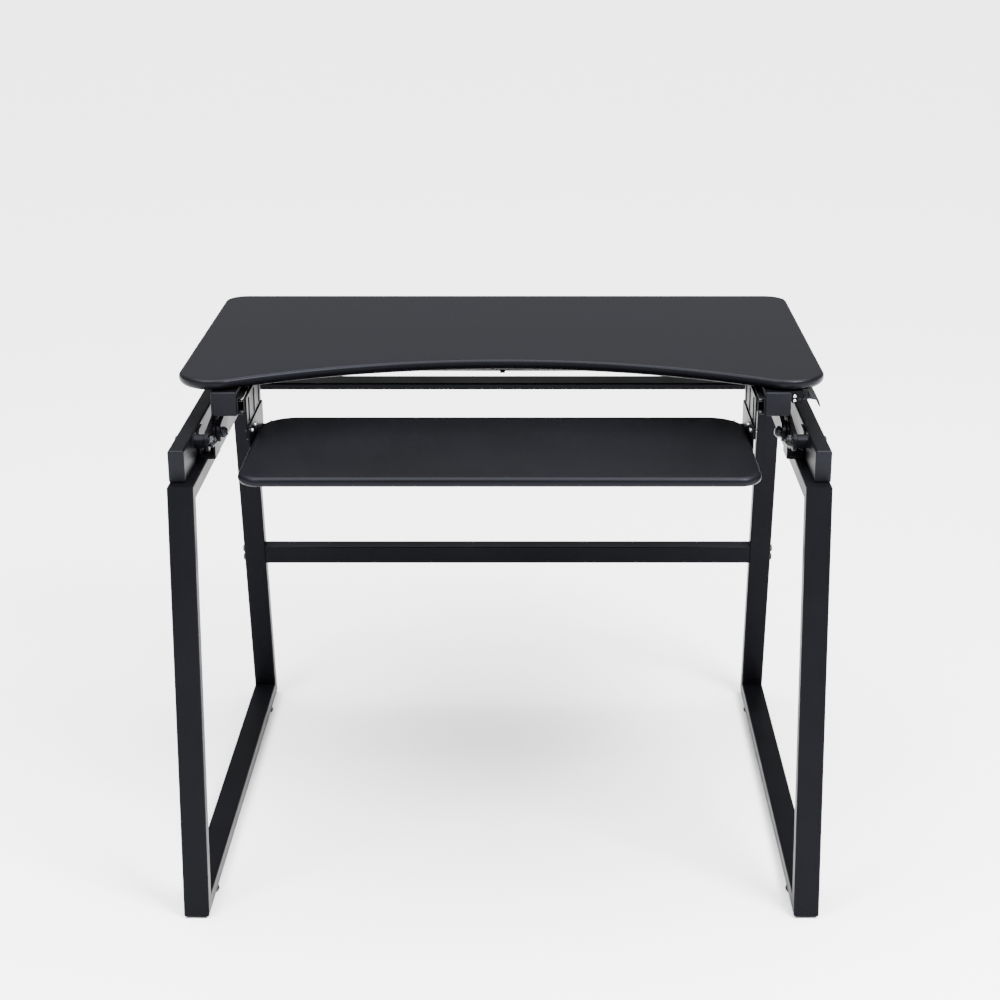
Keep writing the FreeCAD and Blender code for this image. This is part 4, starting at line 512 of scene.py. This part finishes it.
class DeskBoardSettings(bpy.types.PropertyGroup):
    """Plan and edges of the desktop and the keyboard tray."""

    scoop: length("Scoop", "How far the concave front edge runs in", 0.123, 0.02)
    lobe_flat: length("Lobe", "Straight front of each front corner", 0.076, 0.02)
    lobe_blend: length("Lobe Blend", "Radius between the scoop and a front corner", 0.04, 0.005)
    front_round: length("Front Corner", "Desktop's front corner radius in plan", 0.06, 0.01)
    rear_round: length("Rear Corner", "Desktop's rear corner radius in plan", 0.038, 0.01)
    top_round: length("Top Edge", "Radius of the desktop's upper edge", 0.0055)
    under_round: length("Lower Edge", "Radius of the desktop's lower edge", 0.011)
    tray_front_round: length("Tray Front Corner", "Tray's front corner radius in plan", 0.035, 0.01)
    tray_rear_round: length("Tray Rear Corner", "Tray's rear corner radius in plan", 0.06, 0.01)
    tray_edge: length("Tray Edge", "Bullnose radius of the tray", 0.0068)


class DeskHardwareSettings(bpy.types.PropertyGroup):
    """Screws, welds, springs and balls."""

    seed: IntProperty(name="Seed", description="Fixes how far each screw was turned", default=7)
    weld_bead: length("Weld Bead", "Radius of a weld bead", 0.0014, 0.0003)
    spring_turns: FloatProperty(name="Spring Turns", description="Turns of the lever's return spring",
                                default=6.0, min=2.0)
    spring_wire: length("Spring Wire", "Wire radius of the return spring", 0.00045, 0.0001)
    ball_radius: length("Ball Radius", "Radius of the slides' bearing balls", 0.0015, 0.0005)
    edge_break: length("Edge Break", "Softened edge of the sheet-metal parts", 0.0004, 0.0001)
    paddle_edge: length("Paddle Edge", "Moulded radius along the release paddle", 0.001, 0.0001)


class DeskStageSettings(bpy.types.PropertyGroup):
    """Floor, lights and camera."""

    floor_colour: FloatVectorProperty(name="Floor", description="Colour of the floor", subtype="COLOR",
                                      default=linear("#f2f2f2"), min=0, max=1)
    sky_strength: FloatProperty(name="Room Light", description="Strength of the room's even light",
                                default=0.5, min=0)
    key_power: FloatProperty(name="Key Light", description="Power of the main softbox in watts",
                             default=380.0, min=0)
    ceiling_strength: FloatProperty(name="Ceiling Light", min=0, default=13.0,
                                    description="Strength of the even light from the whole ceiling")
    camera_place: FloatVectorProperty(name="Camera", description="Where the camera stands",
                                      subtype="TRANSLATION", unit="LENGTH", default=(0.056, -3.120, 1.622))
    camera_pitch: FloatProperty(name="Pitch", description="How far the camera looks down", subtype="ANGLE",
                                default=math.radians(18.96))
    lens: FloatProperty(name="Lens", description="Focal length in millimetres", default=70.2, min=10)


# ---------------------------------------------------------------- operators

class DESK_OT_stage(bpy.types.Operator):
    """Set a pale floor, soft studio light and the camera"""

    bl_idname = "desk.stage"
    bl_label = "Stage"

    def execute(self, context):
        settings = context.scene.desk_stage
        mesh = bpy.data.meshes.new("floor")
        reach = 40
        corners = [(-reach, -reach, 0), (reach, -reach, 0), (reach, reach, 0), (-reach, reach, 0)]
        mesh.from_pydata(corners, [], [(0, 1, 2, 3)])
        paint = bpy.data.materials.new("matt_floor_paint")
        paint.use_nodes = True
        shader = paint.node_tree.nodes["Principled BSDF"]
        shader.inputs["Base Color"].default_value = (*settings.floor_colour, 1)
        shader.inputs["Roughness"].default_value = 0.9
        shader.inputs["Specular IOR Level"].default_value = 0.1
        mesh.materials.append(paint)
        new_object("floor", mesh)
        world = bpy.data.worlds.new("studio_white")
        world.use_nodes = True
        sky = world.node_tree.nodes["Background"]
        sky.inputs["Color"].default_value = (*linear("#f7f8fb"), 1)
        sky.inputs["Strength"].default_value = settings.sky_strength
        context.scene.world = world
        softboxes = (("key", (1.6, -1.8, 3.0), 1.2, settings.key_power),
                     ("fill", (-1.6, -1.8, 3.0), 1.2, settings.key_power * 0.4))
        for name, place, wide, power in softboxes:
            lamp = bpy.data.lights.new(name, "AREA")
            lamp.shape, lamp.size, lamp.energy = "SQUARE", wide, power
            light = bpy.data.objects.new(name, lamp)
            light.location = place
            light.rotation_euler = (Vector((0, 0, 0.5)) - light.location).to_track_quat("-Z", "Y").to_euler()
            context.scene.collection.objects.link(light)
        ceiling = bpy.data.lights.new("ceiling", "SUN")
        ceiling.energy, ceiling.angle = settings.ceiling_strength, math.radians(75)
        context.scene.collection.objects.link(bpy.data.objects.new("ceiling", ceiling))
        lens = bpy.data.cameras.new("camera")
        lens.lens, lens.sensor_width = settings.lens, 36
        lens.shift_x = -0.037
        camera = bpy.data.objects.new("camera", lens)
        camera.location = settings.camera_place
        camera.rotation_euler = (math.pi / 2 - settings.camera_pitch, 0, 0)
        context.scene.collection.objects.link(camera)
        context.scene.camera = camera
        return {"FINISHED"}


class DESK_OT_finish_frame(bpy.types.Operator):
    """Give every part of the frame its real finish, and break the sheet metal's edges"""

    bl_idname = "desk.finish_frame"
    bl_label = "Frame Finishes"

    SHEET_METAL = ("rear_arm_brackets", "tray_brackets", "slide_outers", "slide_inners", "spring_mounts",
                   "spring_levers", "lever_bracket", "upper_channel_left", "upper_channel_right",
                   "front_arm_left", "front_arm_right", "rear_arm_left", "rear_arm_right")

    def execute(self, context):
        for name, thing in frame["nodes"].items():
            for slot in thing.material_slots:
                slot.material = finish_of(SLOT_OF[name])
        settings = context.scene.desk_hardware
        widths = {name: settings.edge_break for name in self.SHEET_METAL}
        widths["release_paddle"] = settings.paddle_edge
        for name, width in widths.items():
            thing = frame["nodes"][name]
            weld = thing.modifiers.new("weld", "WELD")
            weld.merge_threshold = 1e-5
            soft = thing.modifiers.new("edge_break", "BEVEL")
            soft.width, soft.segments, soft.limit_method = width, 3, "ANGLE"
            soft.angle_limit = math.radians(40)
            soft.harden_normals = True
        return {"FINISHED"}


class DESK_OT_desktop(bpy.types.Operator):
    """Build the desktop: a scooped board with a soft upper edge and a rounder lower one"""

    bl_idname = "desk.desktop"
    bl_label = "Desktop"

    def execute(self, context):
        settings = context.scene.desk_boards
        low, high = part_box("desktop")
        shape = bmesh.new()
        plan = scooped_plan(low, high, settings)
        board(shape, plan, low.z, high.z, settings.top_round, settings.under_round)
        piece_from("desktop_board", shape, "desktop")
        return {"FINISHED"}


class DESK_OT_keyboard_tray(bpy.types.Operator):
    """Build the keyboard tray's board"""

    bl_idname = "desk.keyboard_tray"
    bl_label = "Keyboard Tray"

    def execute(self, context):
        settings = context.scene.desk_boards
        low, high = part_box("keyboard_tray")
        shape = bmesh.new()
        plan = rounded_plan(low, high, settings.tray_front_round, settings.tray_rear_round)
        board(shape, plan, low.z, high.z, settings.tray_edge, settings.tray_edge)
        piece_from("keyboard_tray_board", shape, "keyboard_tray")
        return {"FINISHED"}


class DESK_OT_end_caps(bpy.types.Operator):
    """Build the moulded caps in the open ends of the base rails and channels"""

    bl_idname = "desk.end_caps"
    bl_label = "End Caps"

    def execute(self, context):
        for node in ("base_end_caps", "channel_end_caps"):
            shape = bmesh.new()
            middle = (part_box(node)[0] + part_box(node)[1]) / 2
            for solid in solids_of(node):
                self.cap(shape, *limits(solid), middle.y)
            piece_from(node + "_moulded", shape, node, smooth=50)
        return {"FINISHED"}

    # Inset and depth of the rings over the pillowed face and rim, in millimetres.
    FACE = ((6.0, 0.0), (3.0, 0.1), (1.4, 0.35), (0.5, 0.8), (0.1, 1.4), (0.0, 2.0), (0.0, 2.5))

    def cap(self, shape, low, high, middle_y):
        """Cap with a pillowed face, a rounded rim, and a hollow plug inside the tube."""
        way = 1 if high.y < middle_y else -1
        face, inner = (low.y, high.y) if way > 0 else (high.y, low.y)
        corner, tight, slack, wall = 3 * MM, 0.8 * MM, 2.3 * MM, 1.2 * MM
        rings = [(inset * MM, face + way * depth * MM) for inset, depth in self.FACE]
        back = rings[-1][1]
        rings += [(slack, back), (slack, inner), (slack + wall, inner), (slack + wall, back)]
        loops = []
        for inset, y in rings:
            plan = drawn_in(low.xz, high.xz, inset, max(corner - inset * 0.5, tight))
            loops.append([Vector((spot.x, y, spot.y)) for spot in plan])
        skin(shape, loops)


class DESK_OT_fasteners(bpy.types.Operator):
    """Replace every screw, bolt and nut with one that has its drive, dome, thread and chamfers"""

    bl_idname = "desk.fasteners"
    bl_label = "Screws, Bolts and Nuts"

    # node, axis of the screws, how the head is driven, and what the node's short solids are
    KINDS = (
        ("crossbar_bolts", 0, "socket", "plug"),
        ("base_bolts", 2, "hex_head", "nut"),
        ("bracket_screws", 0, "cross", None),
        ("front_pivot_bolts", 0, "socket", None),
        ("lower_pivot_nuts", 0, None, "nut"),
        ("upper_pivot_studs", 0, "stud", "nut"),
        ("desktop_screws", 2, "cross", None),
        ("slide_screws", 0, "cross", None),
        ("lever_screws", 1, "cross", None),
        ("tray_screws", 2, "cross", None),
        ("hanger_screws", 0, "cross", "nut"),
    )

    # A solid longer and wider than this is a plug, and not a bolt.
    PLUG_LONG, PLUG_WIDE = 25 * MM, 18 * MM
    # The lower pivots are further out than this, and the tray's hangers further in.
    PIVOTS_OUT = 410 * MM

    def execute(self, context):
        tree = hardware_tree()
        for node, axis, drive, short in self.KINDS:
            shape = bmesh.new()
            screws, nuts = [], []
            for solid in solids_of(node):
                long_size, wide = self.measure(solid, axis)
                if short == "nut" and long_size < 0.9 * wide:
                    nuts.append(self.nut_spot(solid, axis))
                elif short == "plug" and long_size > self.PLUG_LONG and wide > self.PLUG_WIDE:
                    # A crossbar plug is a plain block inside the tube.
                    bmesh.ops.convex_hull(shape, input=[shape.verts.new(point) for point in solid])
                elif drive == "stud":
                    self.stud(shape, solid, axis)
                else:
                    screws.append(self.screw_spot(solid, axis))
            values = {"Finish": finish_of(SLOT_OF[node]), "Seed": context.scene.desk_hardware.seed}
            if screws:
                head, shank, length = screws[0][3]
                values.update({"Part": screw_part(node + "_one", drive, shank, head, length),
                               "Twist": 0.0 if drive == "hex_head" else math.tau})
                grown = grow(node, tree, points_mesh(node + "_points", screws), values)
                shape.from_mesh(grown)
            if nuts:
                thick, bore = nuts[0][3]
                values.update({"Part": nut_part(node + "_nut", thick, bore), "Twist": 0.5})
                grown = grow(node + "_nuts", tree, points_mesh(node + "_nut_points", nuts), values)
                shape.from_mesh(grown)
            piece_from(node + "_detailed", shape, node, smooth=35)
        return {"FINISHED"}

    def measure(self, solid, axis):
        low, high = limits(solid)
        spans = high - low
        return spans[axis], max(spans[i] for i in range(3) if i != axis)

    def spread(self, solid, axis, at):
        """Largest distance from the solid's own axis of its points near a height."""
        low, high = limits(solid)
        centre = (low + high) / 2
        others = [i for i in range(3) if i != axis]
        near = [p for p in solid if abs(p[axis] - at) < 0.02 * MM]
        return max(math.hypot(*(p[i] - centre[i] for i in others)) for p in near)

    def screw_spot(self, solid, axis):
        """Seat, heading and size of a screw, and its head, shank and length in head radii."""
        low, high = limits(solid)
        ends = (low[axis], high[axis])
        radii = [self.spread(solid, axis, end) for end in ends]
        top = 0 if radii[0] > radii[1] else 1
        radius, shank = radii[top], radii[1 - top]
        levels = sorted({round(p[axis], 5) for p in solid}, reverse=top == 1)
        seat = levels[1]
        heading = Vector((0, 0, 0))
        heading[axis] = -1 if top == 0 else 1
        place = (low + high) / 2
        place[axis] = seat
        head, length = abs(seat - ends[top]), abs(ends[1 - top] - seat)
        return place, heading, (radius,) * 3, (head / radius, shank / radius, length / radius)

    def nut_spot(self, solid, axis):
        low, high = limits(solid)
        spans = high - low
        # The hexagon's corners stand a little further out than its flats.
        radius = max(spans[i] for i in range(3) if i != axis) / 2
        heading = Vector((0, 0, 0))
        place = (low + high) / 2
        others = [i for i in range(3) if i != axis]
        bore = min(math.hypot(*(p[i] - place[i] for i in others)) for p in solid)
        # A nut's plain face meets the part, and its collar looks away from it.
        way = 1 if axis == 2 or self.looks_right(place[axis], low) else -1
        heading[axis] = way
        place[axis] = low[axis] if way > 0 else high[axis]
        return place, heading, (radius,) * 3, ((high[axis] - low[axis]) / radius, bore / radius)

    def looks_right(self, along, low):
        """Whether a nut on the X axis faces +X. Those of the lower pivots look to the middle."""
        lower = low.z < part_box("base_rail_left")[1].z
        return along < 0 if lower and abs(along) > self.PIVOTS_OUT else along > 0

    def stud(self, shape, solid, axis):
        """Plain stud with a chamfered, threaded end."""
        low, high = limits(solid)
        radius = (high.z - low.z) / 2
        way = 1 if low.x > 0 else -1
        start, stop = (low.x, high.x) if way > 0 else (high.x, low.x)
        turn = Vector((0, 0, 1)).rotation_difference(Vector((way, 0, 0))).to_matrix()
        centre = Vector((start, (low.y + high.y) / 2, (low.z + high.z) / 2))
        long_size = abs(stop - start)
        profile = [(radius * 0.1, 0), (radius, 0), (radius, long_size * 0.6)]
        for i in range(8):
            up = long_size * (0.62 + 0.04 * i)
            profile += [(radius * 0.88, up), (radius, up + long_size * 0.02)]
        profile += [(radius * 0.8, long_size - 0.0002), (radius * 0.78, long_size), (radius * 0.1, long_size)]
        lathe(shape, profile, centre, turn, 32)


class DESK_OT_hangers(bpy.types.Operator):
    """Build the hanger plates between the slides and the tray, with their pressed ribs"""

    bl_idname = "desk.hangers"
    bl_label = "Hanger Plates"

    RIBS_APART = 54 * MM
    # Inset and height of the rings over a rib, in millimetres.
    RIB = ((0.0, -0.3), (0.15, 0.25), (0.7, 0.8), (1.5, 1.25), (2.4, 1.5))

    def execute(self, context):
        shape = bmesh.new()
        for solid in solids_of("slide_hangers"):
            self.plate(shape, solid)
        piece_from("slide_hangers_pressed", shape, "slide_hangers", smooth=40)
        return {"FINISHED"}

    def plate(self, shape, solid):
        low, high = limits(solid)
        side = 1 if low.x > 0 else -1
        sheet, corner, soft = 2.5 * MM, 6 * MM, 0.5 * MM
        outer = high.x if side > 0 else low.x
        inner = outer - side * sheet
        loops = []
        for inset, x in ((soft, outer), (0, outer - side * soft), (0, inner + side * soft), (soft, inner)):
            plan = drawn_in(low.yz, high.yz, inset, corner - inset)
            loops.append([Vector((x, spot.x, spot.y)) for spot in plan])
        skin(shape, loops)
        middle = (low.y + high.y) / 2
        foot, top, half_wide = low.z + 25 * MM, high.z - 4 * MM, 3.5 * MM
        for shift in (-self.RIBS_APART, 0, self.RIBS_APART):
            rings = []
            for inset, up in self.RIB:
                x = inner - side * up * MM
                near, far = (middle + shift - half_wide, foot), (middle + shift + half_wide, top)
                plan = drawn_in(near, far, inset * MM, (3.4 - inset) * MM)
                rings.append([Vector((x, spot.x, spot.y)) for spot in plan])
            skin(shape, rings)


class DESK_OT_ball_cages(bpy.types.Operator):
    """Build the slides' ball retainers: pressed strips with steel balls standing through them"""

    bl_idname = "desk.ball_cages"
    bl_label = "Ball Cages"

    # Balls in a strip, and the first one's distance from its end.
    BALLS, END = 6, 5 * MM

    def execute(self, context):
        radius = context.scene.desk_hardware.ball_radius
        ball = headed_part("bearing_ball", [
            (math.sin(math.radians(a)) + 1e-4, math.cos(math.radians(a))) for a in range(0, 181, 15)])
        shape, spots = bmesh.new(), []
        for solid in solids_of("ball_cages"):
            low, high = limits(solid)
            centre = (low + high) / 2
            rings = []
            for inset, z in ((0.2, 0.5), (0.0, 0.3), (0.0, -0.3), (0.2, -0.5)):
                plan = drawn_in(low, high, inset * MM, 1.6 * MM)
                rings.append([Vector((spot.x, spot.y, centre.z + z * MM)) for spot in plan])
            skin(shape, rings)
            for i in range(self.BALLS):
                step = (high.y - low.y - 2 * self.END) / (self.BALLS - 1)
                y = low.y + self.END + i * step
                spots.append((Vector((centre.x, y, centre.z)), (0, 0, 1), (radius,) * 3))
        values = {"Part": ball, "Finish": finish_of(SLOT_OF["ball_cages"]), "Twist": 0.0, "Seed": 1}
        shape.from_mesh(grow("balls", hardware_tree(), points_mesh("ball_points", spots), values))
        piece_from("ball_cages_pressed", shape, "ball_cages")
        return {"FINISHED"}


class DESK_OT_return_spring(bpy.types.Operator):
    """Wind the release lever's return spring"""

    bl_idname = "desk.return_spring"
    bl_label = "Return Spring"

    def execute(self, context):
        settings = context.scene.desk_hardware
        node = "lever_return_spring"
        low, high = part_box(node)
        pin_low, pin_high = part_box("lever_pin")
        axis = (pin_low + pin_high) / 2
        wire = settings.spring_wire
        radius = (high.z - low.z) / 2 - wire
        values = {"Turns": settings.spring_turns, "Coil Radius": radius, "Wire Radius": wire,
                  "Length": high.y - low.y - 2 * wire, "Finish": finish_of(SLOT_OF[node])}
        mesh = grow("spring", coil_tree(), bpy.data.meshes.new("spring_seed"), values)
        mesh.transform(Matrix.Translation((axis.x, low.y + wire, axis.z))
                       @ Matrix.Rotation(-math.pi / 2, 4, "X"))
        shape = bmesh.new()
        shape.from_mesh(mesh)
        piece_from("return_spring_wound", shape, node, smooth=60)
        return {"FINISHED"}


class DESK_OT_gas_springs(bpy.types.Operator):
    """Build the gas springs: a rolled cylinder with end fittings, and a chromed rod with its eye"""

    bl_idname = "desk.gas_springs"
    bl_label = "Gas Springs"

    # Where the tube starts and stops behind its front pin, and half of an eye's thickness.
    TUBE = (22.0, 187.0)
    EYE_HALF = 4 * MM

    def execute(self, context):
        cylinders, rods = bmesh.new(), bmesh.new()
        mounts = solids_of("spring_mount_pins")
        levers = solids_of("spring_lever_pins")
        for mount, lever in zip(mounts, levers):
            front = middle_of(mount)
            line = middle_of(lever) - front
            way = self.direction(line)
            turn = Vector((0, 0, 1)).rotation_difference(way).to_matrix()
            self.cylinder(cylinders, front, turn)
            # The rod's eye has an upright slot, so that it needn't follow the lever's arc exactly.
            self.rod(rods, front, turn, line.dot(way))
        piece_from("gas_cylinders_rolled", cylinders, "gas_cylinders", smooth=35)
        piece_from("gas_rods_chromed", rods, "gas_rods", smooth=35)
        return {"FINISHED"}

    def direction(self, line):
        """Unit vector along the rods' slide, from the mounts to the levers."""
        axis = next(joint["axis"] for joint in frame["joints"] if joint["name"] == "gas_rod_slide")
        way = Vector(axis).normalized()
        return way if way.dot(line) > 0 else -way

    def eye(self, shape, centre, turn, wide, tall, slot_wide, slot_tall, stop):
        """Flat eye across the spring's line with a hole for its pin, and a neck that ends at stop."""
        thick, count = self.EYE_HALF, 48
        outer, inner = [], []
        for i in range(count):
            angle = math.tau * i / count
            outer.append((wide * math.cos(angle), tall * math.sin(angle)))
            inner.append((slot_wide * math.cos(angle), slot_tall * math.sin(angle)))
        # x runs across the eye, the pair is (along the line, upright).
        soft = 0.8 * MM
        levels = [(inner, 1.0, thick - soft), (inner, 1.0 + soft / slot_wide, thick),
                  (outer, 1.0 - soft / wide, thick), (outer, 1.0, thick - soft), (outer, 1.0, soft - thick),
                  (outer, 1.0 - soft / wide, -thick), (inner, 1.0 + soft / slot_wide, -thick),
                  (inner, 1.0, soft - thick), (inner, 1.0, thick - soft)]
        skin(shape, [[centre + turn @ Vector((x, up * scale, ahead * scale)) for ahead, up in loop]
                     for loop, scale, x in levels], close=False)
        start, sign = wide - 1.2 * MM, 1 if stop > 0 else -1
        lathe(shape, [(3.2 * MM, sign * start), (5 * MM, sign * (start + 1.5 * MM)),
                      (5 * MM, stop - sign * MM), (4 * MM, stop)], centre, turn, 32)

    def cylinder(self, shape, front, turn):
        """Closed tube with a necked end, a rolled groove and a crimped mouth."""
        self.eye(shape, front, turn, 9 * MM, 9 * MM, 4.15 * MM, 4.15 * MM, 22.5 * MM)
        start, stop = self.TUBE
        # Radius and place along the spring, in millimetres: heel, groove, crimped mouth, bore.
        profile = [(5, start), (8.4, start), (9.6, start + 0.8), (10, start + 2.4),
                   (10, stop - 16), (9.1, stop - 14.6), (9.1, stop - 13.4), (10, stop - 12),
                   (10, stop - 1.6), (9.4, stop - 0.5), (8, stop), (5.6, stop), (5.2, stop - 0.6),
                   (4.08, stop - 0.6), (4.08, stop - 4)]
        lathe(shape, [(radius * MM, along * MM) for radius, along in profile], front, turn)

    def rod(self, shape, front, turn, reach):
        """Chromed rod with a turned collar before its slotted eye."""
        self.eye(shape, front + turn @ Vector((0, 0, reach)), turn, 10 * MM, 12 * MM, 4.7 * MM, 7.3 * MM,
                 -16 * MM)
        lathe(shape, [(3 * MM, 60 * MM), (4 * MM, 60.5 * MM), (4 * MM, reach - 14 * MM)], front, turn, 40)


class DESK_OT_foot_glides(bpy.types.Operator):
    """Build the floor glides: a grooved rubber foot under each corner on a threaded stem"""

    bl_idname = "desk.foot_glides"
    bl_label = "Floor Glides"

    def execute(self, context):
        shape = bmesh.new()
        for solid in solids_of("foot_glides"):
            low, high = limits(solid)
            wide = (high.x - low.x) / 2
            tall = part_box("foot_rail_left")[0].z
            centre = Vector(((low.x + high.x) / 2, (low.y + high.y) / 2, 0))
            groove, stem = 0.35 * MM, 4 * MM
            profile = [(0.4 * MM, groove)]
            # Three shallow rings under the foot, which grip the floor.
            for share in (0.3, 0.55, 0.8):
                profile += [(wide * (share - 0.06), groove), (wide * (share - 0.05), 0),
                            (wide * (share + 0.05), 0), (wide * (share + 0.06), groove)]
            profile += [(wide - 2 * MM, 0), (wide - 0.8 * MM, 0.5 * MM), (wide, tall * 0.5),
                        (wide - 0.4 * MM, tall - 0.5 * MM), (wide - 1.2 * MM, tall), (stem, tall)]
            threads = 9
            step = (high.z - tall) / (2 * threads + 2)
            for i in range(threads):
                profile += [(stem, tall + step * (2 * i + 0.5)),
                            (stem - 0.5 * MM, tall + step * (2 * i + 1.5))]
            profile += [(3.4 * MM, high.z - 0.6 * MM), (2.8 * MM, high.z), (0.3 * MM, high.z)]
            lathe(shape, profile, centre, count=64)
        piece_from("foot_glides_moulded", shape, "foot_glides", smooth=35)
        return {"FINISHED"}


class DESK_OT_weld_rings(bpy.types.Operator):
    """Lay the weld beads round the pivot spacers and the levers on the torsion shaft"""

    bl_idname = "desk.weld_rings"
    bl_label = "Weld Rings"

    def execute(self, context):
        tree = weld_tree()
        bead = context.scene.desk_hardware.weld_bead
        low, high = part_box("pivot_bosses")
        self.lay("boss_welds", tree, "pivot_bosses", (low.x, high.x), bead)
        pins = [middle_of(pin).x for pin in solids_of("spring_lever_pins")]
        faces = []
        for solid in solids_of("spring_levers"):
            low, high = limits(solid)
            # Each lever is welded on the face that looks away from its spring.
            middle = (low.x + high.x) / 2
            spring = min(pins, key=lambda x: abs(x - middle))
            faces.append(high.x if middle > spring else low.x)
        self.lay("lever_welds", tree, "torsion_shaft", faces, bead)
        return {"FINISHED"}

    def lay(self, name, tree, node, faces, bead):
        """Lay a ring of weld round a node that runs along X, at each x in faces."""
        low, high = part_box(node)
        radius = (high.z - low.z) / 2
        centre = (low + high) / 2
        spots = [(Vector((x, centre.y, centre.z)), (1, 0, 0), (1, 1, 1)) for x in faces]
        ripples = round(math.tau * radius / (0.9 * bead))
        values = {"Tube Radius": radius, "Bead Radius": bead, "Ripples": ripples,
                  "Finish": finish_of(SLOT_OF[node])}
        mesh = grow(name, tree, points_mesh(name + "_points", spots), values)
        mesh.set_sharp_from_angle(angle=math.radians(80))
        piece = new_object(name, mesh)
        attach(piece, BODY_OF[node])


OPERATORS = (
    DESK_OT_stage, DESK_OT_finish_frame, DESK_OT_desktop, DESK_OT_keyboard_tray, DESK_OT_end_caps,
    DESK_OT_fasteners, DESK_OT_hangers, DESK_OT_ball_cages, DESK_OT_return_spring, DESK_OT_gas_springs,
    DESK_OT_foot_glides, DESK_OT_weld_rings,
)


class VIEW3D_PT_sit_stand_desk(bpy.types.Panel):
    """Buttons that build the desk"""

    bl_label = "Sit-Stand Desk"
    bl_space_type = "VIEW_3D"
    bl_region_type = "UI"
    bl_category = "Desk"

    def draw(self, context):
        for operator in OPERATORS:
            self.layout.operator(operator.bl_idname)


SETTINGS = {
    "desk_boards": DeskBoardSettings,
    "desk_hardware": DeskHardwareSettings,
    "desk_stage": DeskStageSettings,
}


def register():
    for cls in (*SETTINGS.values(), *OPERATORS, VIEW3D_PT_sit_stand_desk):
        bpy.utils.register_class(cls)
    for name, group in SETTINGS.items():
        setattr(bpy.types.Scene, name, PointerProperty(type=group))


def unregister():
    for name in SETTINGS:
        delattr(bpy.types.Scene, name)
    for cls in reversed((*SETTINGS.values(), *OPERATORS, VIEW3D_PT_sit_stand_desk)):
        bpy.utils.unregister_class(cls)


def main():
    register()
    for operator in OPERATORS:
        group, name = operator.bl_idname.split(".")
        getattr(getattr(bpy.ops, group), name)()


if __name__ == "__main__":
    main()
